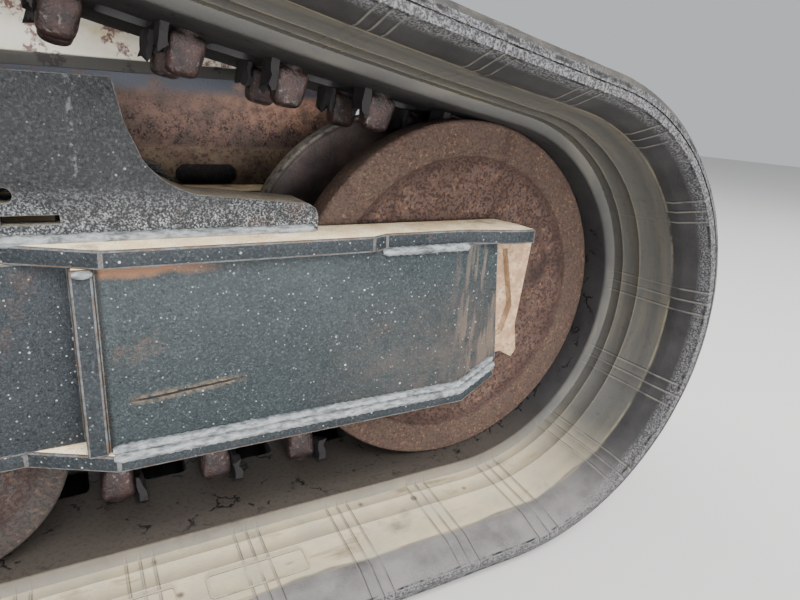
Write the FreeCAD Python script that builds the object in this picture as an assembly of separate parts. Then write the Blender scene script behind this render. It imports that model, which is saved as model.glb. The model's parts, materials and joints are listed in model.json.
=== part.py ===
import FreeCAD, Part
import math
import os

# Track undercarriage of a compact track loader, right-hand side, in millimetres.
# X points forward, Y points inboard to the machine's middle, Z points up.
# The origin is on the ground, at the centre of the tread bar nearest the middle of the wheelbase.

Vector = FreeCAD.Vector
ORIGIN = Vector(0, 0, 0)
X_AXIS = Vector(1, 0, 0)
Y_AXIS = Vector(0, 1, 0)
Z_AXIS = Vector(0, 0, 1)

# Rubber belt: steel-core rubber, one pair of guide lugs, one window and one tread bar per link
LINK_PITCH = 86.0
LINK_COUNT = 52
BELT_WIDTH = 450.0
BELT_THICKNESS = 32.0
PITCH_LINE_DEPTH = 2.0
RAIL_HALF_WIDTH = 119.0
RAIL_STEP_WIDTH = 4.0
RAIL_STEP_DEPTH = 9.0
SKIRT_DEPTH = 17.0
EDGE_BEVEL_WIDTH = 26.0
EDGE_BEVEL_DEPTH = 27.0
TREAD_HEIGHT = 20.0
TREAD_BAR_LENGTH = 38.0
TREAD_END_MARGIN = 22.0
TREAD_END_SLOPE = 10.0
LUG_LENGTH = 26.0
LUG_THICKNESS = 26.0
LUG_HEIGHT = 27.0
LUG_SHOULDER_HEIGHT = 17.0
LUG_TIP_LENGTH = 14.0
LUG_GAP = 54.0
WINDOW_LENGTH = 40.0
WINDOW_WIDTH = 50.0
FIRST_LUG_SETBACK = 83.0
FUSE_DEPTH = 3.0
STRAIGHT_TURN = 0.0001

# Run of the belt: it rises from the front idler to the raised sprocket with a little sag
IDLER_RADIUS = 173.0
RAIL_GAP = 0.3
TOP_RUN_START_ANGLE = 10.3
TOP_RUN_SAG_RADIUS = 7000.0
SPROCKET_SETBACK = 1180.0
SPROCKET_TEETH = 17

# Idlers: two discs on a hub drum
DISC_INNER_Y = 61.0
DISC_OUTER_Y = 91.0
DISC_RIM_WIDTH = 33.0
DISC_FACE_RECESS = 3.0
HUB_DRUM_RADIUS = 105.0
AXLE_RADIUS = 30.0
RUNNING_CLEARANCE = 0.08
SEAT_CLEARANCE = 0.05

# Track frame beams, one outboard and one inboard, mirrored about the centre plane
BEAM_HALF_HEIGHT = 82.0
FLANGE_THICKNESS = 13.0
FLANGE_OUTER_Y = 149.0
FLANGE_INNER_Y = 98.0
FLANGE_WAIST_OUTER_Y = 117.0
BOTTOM_FLANGE_WAIST_INNER_Y = 109.0
FLANGE_END_OVERHANG = 35.0
FLANGE_END_CORNER = 6.0
FLANGE_TIP_OUTER_Y = 153.0
FLANGE_TIP_LENGTH = 20.0
FLANGE_TRIM_START = 30.0
FLANGE_TRIM_END = 111.0
FLANGE_TRIM_STEP = 15.0
WAIST_START_SETBACK = 322.0
WAIST_END_SETBACK = 380.0
WEB_THICKNESS = 10.0
WEB_INNER_Y = 109.0
COVER_OUTER_Y = 141.0
COVER_THICKNESS = 8.0
COVER_TOP_OVERHANG = 3.0
COVER_FOOT_OVERHANG = 15.0
STIFFENER_SETBACK = 341.0
STIFFENER_THICKNESS = 14.0
STIFFENER_MARGIN = 4.0
TURN_UP_START = 26.0
TURN_UP_RISE = 22.0
TURN_UP_RUN = 36.0

# Sliding yoke of the front idler and fixed carrier of the rear idler
YOKE_INNER_Y = 105.0
YOKE_OUTER_Y = 131.0
THRUST_PAD_HALF = 44.0
THRUST_PAD_FRONT = 36.0
THRUST_CLEARANCE = 0.5
YOKE_HEIGHT_CLEARANCE = 0.3
YOKE_NOSE_TOP = 52.0
# Columns: distance ahead of the axle, height above it
YOKE_NOSE = [(46.0, 8.0), (43.0, -18.0), (48.0, -46.0), (43.0, -53.0), (28.0, -45.0)]
YOKE_LIP_CLEARANCE = 2.0
YOKE_TOE_SETBACK = 6.0
# Recess in the cheek's face behind its thick front edge, columns as for the nose
YOKE_RECESS = [(23.0, 60.0), (31.0, 24.0), (36.0, 2.0), (28.0, -24.0), (4.0, -38.0)]
YOKE_RECESS_LENGTH = 70.0
YOKE_RECESS_DEPTH = 8.0
YOKE_SEAT_WALL = 6.0
YOKE_SHOE_LENGTH = 110.0
YOKE_NECK_TAPER = 30.0
YOKE_NECK_HALF_HEIGHT = 38.0
YOKE_BLOCK_START = 203.0
YOKE_BLOCK_END = 238.0
CARRIER_LENGTH = 150.0

# Grease tensioner between the yoke and the middle bulkhead
TENSIONER_HEIGHT = 12.0
TENSIONER_CYLINDER_RADIUS = 30.0
TENSIONER_ROD_RADIUS = 18.0
TENSIONER_ROD_LENGTH = 110.0

# Track rollers, hung under the beams by flats on their shafts
ROLLER_RADIUS = 100.0
FIRST_ROLLER_SETBACK = 452.0
LAST_ROLLER_FROM_REAR = 452.0
ROLLER_RIM_INNER_Y = 60.0
ROLLER_RIM_OUTER_Y = 106.0
ROLLER_WAIST_RADIUS = 50.0
ROLLER_SHAFT_RADIUS = 35.0
ROLLER_SHAFT_END_Y = 147.0

# Cross members between the beams
CROSS_FRONT_SETBACK = 345.0
CROSS_FRONT_LENGTH = 70.0
CROSS_REAR_CLEARANCE = 10.0
CROSS_REAR_LENGTH = 40.0
CROSS_BOTTOM = 46.0
BULKHEAD_THICKNESS = 30.0
BULKHEAD_BOTTOM = -55.0
BULKHEAD_CLEARANCE = 5.0

# Mount brackets on the beams and the arms that reach in to the chassis
BRACKET_INNER_Y = 104.0
BRACKET_THICKNESS = 14.0
BRACKET_TOP = 188.0
BRACKET_TOP_HALF = 135.0
# Columns: distance past the half width of the top, drop below the top
BRACKET_SHOULDER = [(0.0, 0.0), (6.0, 28.0), (16.0, 52.0)]
BRACKET_SWEEP = [(32.0, 68.0), (52.0, 76.0)]
# Columns: distance short of the foot's tip, rise above the beam
BRACKET_TOE = [(8.0, 22.0), (2.0, 18.0), (0.0, 12.0), (0.0, 0.0)]
BRACKET_REACH = 200.0
BRACKET_RIM_WIDTH = 30.0
BRACKET_RIM_THICKNESS = 8.0
BRACKET_HOLE_RADIUS = 5.0
BRACKET_HOLE_SHIFT = 68.0
BRACKET_HOLE_RISE = 31.0
BRACKET_SLIT_LENGTH = 33.0
BRACKET_SLIT_HEIGHT = 6.0
BRACKET_SLIT_SHIFT = 98.0
BRACKET_SLIT_RISE = 12.0
BRACKET_SETBACK = 440.0
BRACKET_FRONT_REACH = 278.0
ARM_WIDTH = 110.0
ARM_HEIGHT = 70.0
ARM_WALL = 8.0
ARM_SPROCKET_CLEARANCE = 12.0
ARM_TOP = 178.0
ARM_FLANGE_LENGTH = 170.0
ARM_FLANGE_HEIGHT = 84.0
ARM_FLANGE_THICKNESS = 16.0

# Chassis side rail and side plate
CHASSIS_CLEARANCE = 19.0
RAIL_TOP = 199.0
RAIL_LIP = 114.0
RAIL_BAND_BOTTOM = 93.0
RAIL_BOTTOM = 40.0
RAIL_DEPTH = 56.0
RAIL_BAND_RECESS = 14.0
RAIL_WALL = 8.0
RAIL_FRONT_OVERHANG = 30.0
RAIL_REAR_SETBACK = 1420.0
SLOT_LENGTH = 78.0
SLOT_HEIGHT = 26.0
SLOT_CORNER = 8.0
SLOT_PITCH = 92.0
SLOT_FIRST_SETBACK = 210.0
SLOT_COUNT = 12
SIDE_PLATE_THICKNESS = 8.0
SIDE_PLATE_FOOT_LAP = 27.0
SIDE_PLATE_TOP = 452.0
SIDE_PLATE_BOTTOM = 213.0
SIDE_PLATE_FRONT_SETBACK = 40.0
SIDE_PLATE_FRONT_HEIGHT = 87.0
SIDE_PLATE_SHOULDER_LENGTH = 260.0
SIDE_PLATE_SHOULDER_MARGIN = 15.0
SIDE_PLATE_FROM_SPROCKET = 260.0
CHASSIS_BOLT_RADIUS = 9.0
CHASSIS_BOLT_SETBACK = 640.0
CHASSIS_BOLT_EDGE = 42.0
CHASSIS_BOLT_SPACING_X = 600.0
CHASSIS_BOLT_SPACING_Z = 60.0

# Drive: sprocket, final drive and hydraulic motor
SPROCKET_HALF_THICKNESS = 22.0
TOOTH_LENGTH_ROOT = 38.0
TOOTH_LENGTH_TIP = 22.0
TOOTH_DEPTH = 12.0
ROOT_CLEARANCE = 3.0
SPROCKET_BORE_RADIUS = 80.0
COVER_RADIUS = 112.0
COVER_DEPTH = 26.0
FINAL_DRIVE_RADIUS = 128.0
FINAL_DRIVE_FLANGE_RADIUS = 160.0
FINAL_DRIVE_FLANGE_THICKNESS = 22.0
MOTOR_RADIUS = 57.0
MOTOR_LENGTH = 120.0
MOTOR_HOLE_CLEARANCE = 1.0
PORT_RADIUS = 13.0
PORT_DEPTH = 20.0
PORT_SPACING = 60.0
PORT_BLOCK_LENGTH = 110.0
PORT_BLOCK_HEIGHT = 50.0
PORT_BLOCK_WIDTH = 64.0
PORT_BLOCK_SINK = 30.0

CHASSIS_FACE_Y = BELT_WIDTH / 2 + CHASSIS_CLEARANCE
RAIL_RADIUS = IDLER_RADIUS + RAIL_GAP
IDLER_PITCH_RADIUS = RAIL_RADIUS + PITCH_LINE_DEPTH
SPROCKET_PITCH_RADIUS = SPROCKET_TEETH * LINK_PITCH / (2 * math.pi)
AXLE_HEIGHT = RAIL_RADIUS + BELT_THICKNESS + TREAD_HEIGHT


def direction(angle):
    """Unit vector in the XZ plane, the angle in radians from +X towards +Z."""
    return Vector(math.cos(angle), 0, math.sin(angle))


def loop_for(wheelbase, front_x=0.0):
    """Segments of the pitch line from under the front idler, forward and up round the loop."""
    front = Vector(front_x, 0, AXLE_HEIGHT)
    rear = Vector(front_x - wheelbase, 0, AXLE_HEIGHT)
    start_normal = math.radians(90 - TOP_RUN_START_ANGLE)
    sag_reach = TOP_RUN_SAG_RADIUS + IDLER_PITCH_RADIUS
    sag_to_sprocket = TOP_RUN_SAG_RADIUS + SPROCKET_PITCH_RADIUS
    sine = (sag_reach * math.cos(start_normal) + SPROCKET_SETBACK) / sag_to_sprocket
    end_normal = math.pi / 2 - math.asin(sine)
    sag_centre = front + direction(start_normal) * sag_reach
    sprocket = sag_centre - direction(end_normal) * sag_to_sprocket
    to_rear = rear - sprocket
    spread = math.acos((SPROCKET_PITCH_RADIUS - IDLER_PITCH_RADIUS) / to_rear.Length)
    rear_normal = math.atan2(to_rear.z, to_rear.x) % (2 * math.pi) - spread
    bottom_normal = 1.5 * math.pi
    segments = [
        ("arc", front, IDLER_PITCH_RADIUS, -math.pi / 2, start_normal),
        ("sag", sag_centre, TOP_RUN_SAG_RADIUS, start_normal, end_normal),
        ("arc", sprocket, SPROCKET_PITCH_RADIUS, end_normal, rear_normal),
        ("line", sprocket + direction(rear_normal) * SPROCKET_PITCH_RADIUS,
         rear + direction(rear_normal) * IDLER_PITCH_RADIUS, rear_normal, rear_normal),
        ("arc", rear, IDLER_PITCH_RADIUS, rear_normal, bottom_normal),
        ("line", rear + direction(bottom_normal) * IDLER_PITCH_RADIUS,
         front + direction(bottom_normal) * IDLER_PITCH_RADIUS, bottom_normal, bottom_normal),
    ]
    return segments, sprocket


def segment_length(segment):
    kind, first, second, start, end = segment
    if kind == "line":
        return (second - first).Length
    return second * abs(end - start)


def solve_wheelbase():
    """Wheelbase at which the pitch line is as long as the belt's links."""
    low = LINK_PITCH * LINK_COUNT / 5
    high = LINK_PITCH * LINK_COUNT / 2
    for _ in range(60):
        middle = (low + high) / 2
        segments, _sprocket = loop_for(middle)
        if sum(segment_length(segment) for segment in segments) < LINK_PITCH * LINK_COUNT:
            low = middle
        else:
            high = middle
    return (low + high) / 2


WHEELBASE = solve_wheelbase()
FRONT_X = FIRST_LUG_SETBACK + LINK_PITCH * round((WHEELBASE / 2 - FIRST_LUG_SETBACK) / LINK_PITCH)
REAR_X = FRONT_X - WHEELBASE
MIDDLE = Vector((FRONT_X + REAR_X) / 2, 0, 0)
LOOP, SPROCKET_CENTRE = loop_for(WHEELBASE, FRONT_X)
IDLER_CENTRES = {"front": Vector(FRONT_X, 0, AXLE_HEIGHT), "rear": Vector(REAR_X, 0, AXLE_HEIGHT)}


def station(distance):
    """Point on the pitch line and the outward normal's angle, at a distance round the loop."""
    distance = distance % (LINK_PITCH * LINK_COUNT)
    for kind, first, second, start, end in LOOP:
        length = segment_length((kind, first, second, start, end))
        if distance <= length:
            break
        distance -= length
    share = distance / length
    angle = start + (end - start) * share
    if kind == "line":
        return first + (second - first) * share, angle
    if kind == "sag":
        return first - direction(angle) * second, angle
    return first + direction(angle) * second, angle


def behind(setback, height=0.0, y=0.0):
    """Point at a distance behind the front idler's axis and a height above it."""
    return Vector(FRONT_X - setback, y, AXLE_HEIGHT + height)


def polygon_face(points):
    return Part.Face(Part.makePolygon(points + [points[0]]))


def side_plate(outline, y_low, y_high):
    """Plate whose outline is (setback, height) pairs, between two Y planes."""
    face = polygon_face([behind(setback, height, y_low) for setback, height in outline])
    return face.extrude(Y_AXIS * (y_high - y_low))


def flat_plate(outline, bottom, top):
    """Plate whose outline is (setback, y) pairs, between two heights."""
    face = polygon_face([behind(setback, bottom, y) for setback, y in outline])
    return face.extrude(Z_AXIS * (top - bottom))


def block(setback_low, setback_high, y_low, y_high, bottom, top):
    outline = [(setback_low, bottom), (setback_high, bottom), (setback_high, top), (setback_low, top)]
    return side_plate(outline, y_low, y_high)


def round_bar(centre, radius, y_low, y_high):
    return Part.makeCylinder(radius, y_high - y_low, Vector(centre.x, y_low, centre.z), Y_AXIS)


def turned(profile, centre):
    """Solid turned about a cross axis; the profile is (y, radius) pairs."""
    points = [Vector(centre.x, y, centre.z + radius) for y, radius in profile]
    return polygon_face(points).revolve(centre, Y_AXIS, 360)


def inboard_copy(shape):
    return shape.mirror(ORIGIN, Y_AXIS)


def rear_copy(shape):
    return shape.mirror(MIDDLE, X_AXIS)


def fused(shapes):
    result = shapes[0]
    if len(shapes) > 1:
        result = shapes[0].multiFuse(shapes[1:])
    return result.removeSplitter()


parts = {}


# Rubber belt: it bends between its steel cores, so each link is straight over its core and its window
def tangent_crossing(first, second):
    """Point where the belt's straight pieces round two stations meet."""
    first_point, first_angle = first
    second_point, second_angle = second
    along = direction(first_angle + math.pi / 2)
    normal = direction(second_angle)
    reach = (second_point - first_point).dot(normal) / along.dot(normal)
    return first_point + along * reach


def belt_corners():
    """Corners of the pitch line: the point, the mean normal's angle and the turn."""
    corners = []
    pieces = 2 * LINK_COUNT
    for piece in range(pieces):
        distance = piece * LINK_PITCH / 2 - FIRST_LUG_SETBACK
        before = station(distance)
        after = station(distance + LINK_PITCH / 2)
        turn = (after[1] - before[1] + math.pi) % (2 * math.pi) - math.pi
        if abs(turn) < STRAIGHT_TURN:
            continue
        corners.append((tangent_crossing(before, after), before[1] + turn / 2, turn))
    return corners


def belt_section():
    """Half section as (y, depth below the rail face) pairs, then its mirror image."""
    half = BELT_WIDTH / 2
    inner_side = [
        (half, BELT_THICKNESS), (half, EDGE_BEVEL_DEPTH), (half - EDGE_BEVEL_WIDTH, SKIRT_DEPTH),
        (RAIL_HALF_WIDTH + RAIL_STEP_WIDTH, RAIL_STEP_DEPTH), (RAIL_HALF_WIDTH, 0.0),
    ]
    return inner_side + [(-y, depth) for y, depth in reversed(inner_side)]


def belt_carcass():
    section = belt_section()
    rings = []
    for point, angle, turn in belt_corners():
        outward = direction(angle) * (1 / math.cos(turn / 2))
        rings.append([point + Y_AXIS * y + outward * (depth - PITCH_LINE_DEPTH) for y, depth in section])
    faces = []
    for ring, after in zip(rings, rings[1:] + rings[:1]):
        for index in range(len(section)):
            beside = (index + 1) % len(section)
            faces.append(polygon_face([ring[index], ring[beside], after[beside], after[index]]))
    return Part.Solid(Part.Shell(faces))


def link_prism(distance, outline, y_low, y_high):
    """Prism standing on the belt; the outline is (along, depth below the rail face) pairs."""
    point, angle = station(distance)
    normal = direction(angle)
    along = direction(angle + math.pi / 2)
    face = polygon_face([
        point + along * shift + normal * (depth - PITCH_LINE_DEPTH) + Y_AXIS * y_low
        for shift, depth in outline
    ])
    return face.extrude(Y_AXIS * (y_high - y_low))


def tread_bar(distance):
    point, angle = station(distance)
    normal = direction(angle)
    along = direction(angle + math.pi / 2)
    reach = BELT_WIDTH / 2 - TREAD_END_MARGIN
    tip = reach - TREAD_END_SLOPE
    low = BELT_THICKNESS - FUSE_DEPTH
    high = BELT_THICKNESS + TREAD_HEIGHT
    outline = [(-reach, low), (-reach, BELT_THICKNESS), (-tip, high),
               (tip, high), (reach, BELT_THICKNESS), (reach, low)]
    face = polygon_face([
        point + along * (-TREAD_BAR_LENGTH / 2) + normal * (depth - PITCH_LINE_DEPTH) + Y_AXIS * y
        for y, depth in outline
    ])
    return face.extrude(along * TREAD_BAR_LENGTH)


def make_belt():
    lug_outline = [
        (-LUG_LENGTH / 2, FUSE_DEPTH), (LUG_LENGTH / 2, FUSE_DEPTH),
        (LUG_LENGTH / 2, -LUG_SHOULDER_HEIGHT), (LUG_TIP_LENGTH / 2, -LUG_HEIGHT),
        (-LUG_TIP_LENGTH / 2, -LUG_HEIGHT), (-LUG_LENGTH / 2, -LUG_SHOULDER_HEIGHT),
    ]
    window_depth = BELT_THICKNESS + TREAD_HEIGHT
    window_outline = [
        (-WINDOW_LENGTH / 2, -LUG_HEIGHT), (WINDOW_LENGTH / 2, -LUG_HEIGHT),
        (WINDOW_LENGTH / 2, window_depth), (-WINDOW_LENGTH / 2, window_depth),
    ]
    added = []
    windows = []
    for link in range(LINK_COUNT):
        distance = link * LINK_PITCH - FIRST_LUG_SETBACK
        lug_low = LUG_GAP / 2
        lug_high = lug_low + LUG_THICKNESS
        added.append(link_prism(distance, lug_outline, lug_low, lug_high))
        added.append(link_prism(distance, lug_outline, -lug_high, -lug_low))
        added.append(tread_bar(distance))
        middle = distance + LINK_PITCH / 2
        windows.append(link_prism(middle, window_outline, -WINDOW_WIDTH / 2, WINDOW_WIDTH / 2))
    belt = belt_carcass().multiFuse(added).cut(Part.makeCompound(windows))
    ground = Part.makeBox(WHEELBASE * 2, BELT_WIDTH * 2, TREAD_HEIGHT,
                          MIDDLE + Vector(-WHEELBASE, -BELT_WIDTH, -TREAD_HEIGHT))
    return belt.cut(ground)


parts["track_belt"] = make_belt()


# Idlers: one casting of two discs on a hub drum; the outboard disc has a machined rim
def idler_wheel(centre):
    bore = AXLE_RADIUS + RUNNING_CLEARANCE
    rim = IDLER_RADIUS - DISC_RIM_WIDTH
    web_y = DISC_OUTER_Y - DISC_FACE_RECESS
    profile = [
        (-web_y, bore), (-web_y, rim), (-DISC_OUTER_Y, rim), (-DISC_OUTER_Y, IDLER_RADIUS),
        (-DISC_INNER_Y, IDLER_RADIUS), (-DISC_INNER_Y, HUB_DRUM_RADIUS),
        (DISC_INNER_Y, HUB_DRUM_RADIUS), (DISC_INNER_Y, IDLER_RADIUS),
        (web_y, IDLER_RADIUS), (web_y, bore),
    ]
    return turned(profile, centre)


for end, centre in IDLER_CENTRES.items():
    parts[end + "_idler_wheel"] = idler_wheel(centre)
axle_end_y = YOKE_OUTER_Y - YOKE_RECESS_DEPTH - YOKE_SEAT_WALL
parts["idler_axles"] = Part.makeCompound([
    round_bar(centre, AXLE_RADIUS, -axle_end_y, axle_end_y) for centre in IDLER_CENTRES.values()
])


# Beams: top and bottom flanges, web, end covers and stiffeners, outboard side first
def flange_outline(end, waist_inner_y):
    """Half outline of a flange from its front end's points to the middle of the wheelbase."""
    middle = WHEELBASE / 2
    return end + [
        (WAIST_START_SETBACK, -FLANGE_OUTER_Y),
        (WAIST_END_SETBACK, -FLANGE_WAIST_OUTER_Y), (middle, -FLANGE_WAIST_OUTER_Y),
        (middle, -waist_inner_y), (STIFFENER_SETBACK, -waist_inner_y),
        (STIFFENER_SETBACK, -FLANGE_INNER_Y),
    ]


def top_flange_end():
    """Wide tip ahead of the cover, then a stretch that is trimmed flush with the cover."""
    tip = -FLANGE_END_OVERHANG
    return [
        (tip + FLANGE_END_CORNER, -FLANGE_INNER_Y), (tip, -(FLANGE_INNER_Y + FLANGE_TIP_OUTER_Y) / 2),
        (tip, -FLANGE_TIP_OUTER_Y), (tip + FLANGE_TIP_LENGTH, -FLANGE_TIP_OUTER_Y),
        (FLANGE_TRIM_START, -COVER_OUTER_Y), (FLANGE_TRIM_END, -COVER_OUTER_Y),
        (FLANGE_TRIM_END + FLANGE_TRIM_STEP, -FLANGE_OUTER_Y),
    ]


def turn_up_profile():
    """Side view of the bottom flange, which bends up at its front end."""
    middle = WHEELBASE / 2
    low = -BEAM_HALF_HEIGHT
    high = low + FLANGE_THICKNESS
    slope = math.atan2(TURN_UP_RISE, TURN_UP_RUN)
    tip_shift = FLANGE_THICKNESS * math.sin(slope)
    tip_rise = FLANGE_THICKNESS * math.cos(slope)
    bend_shift = FLANGE_THICKNESS * math.tan(slope / 2)
    nose = TURN_UP_START - TURN_UP_RUN
    return [
        (middle, low), (TURN_UP_START, low), (nose, low + TURN_UP_RISE),
        (nose + tip_shift, low + TURN_UP_RISE + tip_rise), (TURN_UP_START + bend_shift, high),
        (middle, high),
    ]


inside_bottom = -BEAM_HALF_HEIGHT + FLANGE_THICKNESS
inside_top = BEAM_HALF_HEIGHT - FLANGE_THICKNESS
square_end = [(-FLANGE_END_OVERHANG, -FLANGE_INNER_Y), (-FLANGE_END_OVERHANG, -FLANGE_OUTER_Y)]
top_half = flat_plate(flange_outline(top_flange_end(), FLANGE_INNER_Y), inside_top, BEAM_HALF_HEIGHT)
bottom_plan = flat_plate(flange_outline(square_end, BOTTOM_FLANGE_WAIST_INNER_Y),
                         -BEAM_HALF_HEIGHT, inside_top)
bottom_half = bottom_plan.common(side_plate(turn_up_profile(), -FLANGE_OUTER_Y, 0))
web = block(STIFFENER_SETBACK, WHEELBASE - STIFFENER_SETBACK,
            -WEB_INNER_Y - WEB_THICKNESS, -WEB_INNER_Y, inside_bottom, inside_top)
cover_outline = [
    (-COVER_TOP_OVERHANG, inside_top), (-COVER_FOOT_OVERHANG, inside_bottom + TURN_UP_RISE),
    (-COVER_TOP_OVERHANG, inside_bottom + TURN_UP_RISE), (TURN_UP_START + FLANGE_THICKNESS, inside_bottom),
    (STIFFENER_SETBACK - STIFFENER_THICKNESS, inside_bottom),
    (STIFFENER_SETBACK - STIFFENER_THICKNESS, inside_top),
]
cover = side_plate(cover_outline, -COVER_OUTER_Y, -COVER_OUTER_Y + COVER_THICKNESS)
stiffener = block(STIFFENER_SETBACK - STIFFENER_THICKNESS, STIFFENER_SETBACK,
                  -FLANGE_OUTER_Y + STIFFENER_MARGIN, -WEB_INNER_Y, inside_bottom, inside_top)
beam_pieces = {
    "top_flange": fused([top_half, rear_copy(top_half)]),
    "bottom_flange": fused([bottom_half, rear_copy(bottom_half)]),
    "web": web,
    "end_covers": Part.makeCompound([cover, rear_copy(cover)]),
    "stiffeners": Part.makeCompound([stiffener, rear_copy(stiffener)]),
}
for name, shape in beam_pieces.items():
    parts["outer_beam_" + name] = shape
    parts["inner_beam_" + name] = inboard_copy(shape)


# Front idler's sliding yoke: two cheeks with thrust pads, joined behind the wheel by a cross block
def cheek(front_idler):
    half = BEAM_HALF_HEIGHT - FLANGE_THICKNESS - YOKE_HEIGHT_CLEARANCE
    lip_top = -BEAM_HALF_HEIGHT + TURN_UP_RISE + FLANGE_THICKNESS + YOKE_LIP_CLEARANCE
    nose = [(-YOKE_NOSE_TOP, half)] + [(-ahead, height) for ahead, height in YOKE_NOSE]
    nose += [(0, lip_top), (TURN_UP_START + YOKE_TOE_SETBACK, -half)]
    if front_idler:
        neck = YOKE_SHOE_LENGTH + YOKE_NECK_TAPER
        tail = [
            (YOKE_SHOE_LENGTH, -half), (neck, -YOKE_NECK_HALF_HEIGHT),
            (YOKE_BLOCK_END, -YOKE_NECK_HALF_HEIGHT), (YOKE_BLOCK_END, YOKE_NECK_HALF_HEIGHT),
            (neck, YOKE_NECK_HALF_HEIGHT), (YOKE_SHOE_LENGTH, half),
        ]
    else:
        tail = [(CARRIER_LENGTH, -half), (CARRIER_LENGTH, half)]
    pad_face = -DISC_OUTER_Y + DISC_FACE_RECESS - THRUST_CLEARANCE
    plate = side_plate(nose + tail, -YOKE_OUTER_Y, -YOKE_INNER_Y)
    recess_outline = [(-ahead, height) for ahead, height in YOKE_RECESS]
    recess_outline += [(YOKE_RECESS_LENGTH, YOKE_RECESS[-1][1]), (YOKE_RECESS_LENGTH, YOKE_RECESS[0][1])]
    recess = side_plate(recess_outline, -YOKE_OUTER_Y, -YOKE_OUTER_Y + YOKE_RECESS_DEPTH)
    pad = block(-THRUST_PAD_FRONT, THRUST_PAD_HALF, -YOKE_INNER_Y, pad_face, -THRUST_PAD_HALF, THRUST_PAD_HALF)
    seat = round_bar(IDLER_CENTRES["front"], AXLE_RADIUS + SEAT_CLEARANCE, -axle_end_y, pad_face)
    return plate.cut(recess).fuse(pad).cut(seat)


front_cheek = cheek(True)
cross_block = block(YOKE_BLOCK_START, YOKE_BLOCK_END, -YOKE_INNER_Y, YOKE_INNER_Y,
                    -YOKE_NECK_HALF_HEIGHT, YOKE_NECK_HALF_HEIGHT)
parts["front_idler_yoke"] = fused([front_cheek, inboard_copy(front_cheek), cross_block])
rear_cheek = rear_copy(cheek(False))
parts["rear_idler_carriers"] = Part.makeCompound([rear_cheek, inboard_copy(rear_cheek)])


# Cross members, with a deep bulkhead between the first and second rollers
closest_rollers = 2 * ROLLER_RADIUS + BULKHEAD_THICKNESS + 2 * BULKHEAD_CLEARANCE
roller_run = WHEELBASE - LAST_ROLLER_FROM_REAR - FIRST_ROLLER_SETBACK
roller_gaps = int(roller_run // closest_rollers)
roller_spacing = roller_run / roller_gaps
bulkhead_setback = FIRST_ROLLER_SETBACK + roller_spacing / 2 - BULKHEAD_THICKNESS / 2
tooth_tip_radius = SPROCKET_PITCH_RADIUS - PITCH_LINE_DEPTH + TOOTH_DEPTH
cross_rear_setback = SPROCKET_SETBACK - tooth_tip_radius - CROSS_REAR_CLEARANCE - CROSS_REAR_LENGTH
cross_members = [
    ("front_cross_member", CROSS_FRONT_SETBACK, CROSS_FRONT_LENGTH, CROSS_BOTTOM),
    ("middle_bulkhead", bulkhead_setback, BULKHEAD_THICKNESS, BULKHEAD_BOTTOM),
    ("rear_cross_member", cross_rear_setback, CROSS_REAR_LENGTH, CROSS_BOTTOM),
]
for name, setback, length, bottom in cross_members:
    parts[name] = block(setback, setback + length, -WEB_INNER_Y, WEB_INNER_Y, bottom, inside_top)


# Tensioner: grease cylinder on the bulkhead, its rod against the yoke
rod_end = YOKE_BLOCK_END + TENSIONER_ROD_LENGTH
rod_start_point = behind(YOKE_BLOCK_END, TENSIONER_HEIGHT)
cylinder_start_point = behind(rod_end, TENSIONER_HEIGHT)
parts["tensioner_rod"] = Part.makeCylinder(
    TENSIONER_ROD_RADIUS, TENSIONER_ROD_LENGTH, rod_start_point, X_AXIS * -1)
parts["tensioner_cylinder"] = Part.makeCylinder(
    TENSIONER_CYLINDER_RADIUS, bulkhead_setback - rod_end, cylinder_start_point, X_AXIS * -1)


# Track rollers and their dead shafts
def roller(centre):
    half = [
        (ROLLER_RIM_OUTER_Y, ROLLER_SHAFT_RADIUS + SEAT_CLEARANCE), (ROLLER_RIM_OUTER_Y, ROLLER_RADIUS),
        (ROLLER_RIM_INNER_Y, ROLLER_RADIUS), (ROLLER_RIM_INNER_Y, ROLLER_WAIST_RADIUS),
    ]
    return turned([(-y, radius) for y, radius in half] + half[::-1], centre)


def roller_shaft(centre):
    shaft = round_bar(centre, ROLLER_SHAFT_RADIUS, -ROLLER_SHAFT_END_Y, ROLLER_SHAFT_END_Y)
    reach = ROLLER_SHAFT_RADIUS * 2
    outline = [
        (centre.x - reach, AXLE_HEIGHT - BEAM_HALF_HEIGHT), (centre.x + reach, AXLE_HEIGHT - BEAM_HALF_HEIGHT),
        (centre.x + reach, AXLE_HEIGHT), (centre.x - reach, AXLE_HEIGHT),
    ]
    for y_low, y_high in ((-ROLLER_SHAFT_END_Y, -ROLLER_RIM_OUTER_Y), (ROLLER_RIM_OUTER_Y, ROLLER_SHAFT_END_Y)):
        flat = polygon_face([Vector(x, y_low, z) for x, z in outline]).extrude(Y_AXIS * (y_high - y_low))
        shaft = shaft.cut(flat)
    return shaft


roller_centres = [
    behind(FIRST_ROLLER_SETBACK + number * roller_spacing, ROLLER_RADIUS - RAIL_RADIUS)
    for number in range(roller_gaps + 1)
]
parts["track_rollers"] = Part.makeCompound([roller(centre) for centre in roller_centres])
parts["roller_shafts"] = Part.makeCompound([roller_shaft(centre) for centre in roller_centres])


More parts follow.
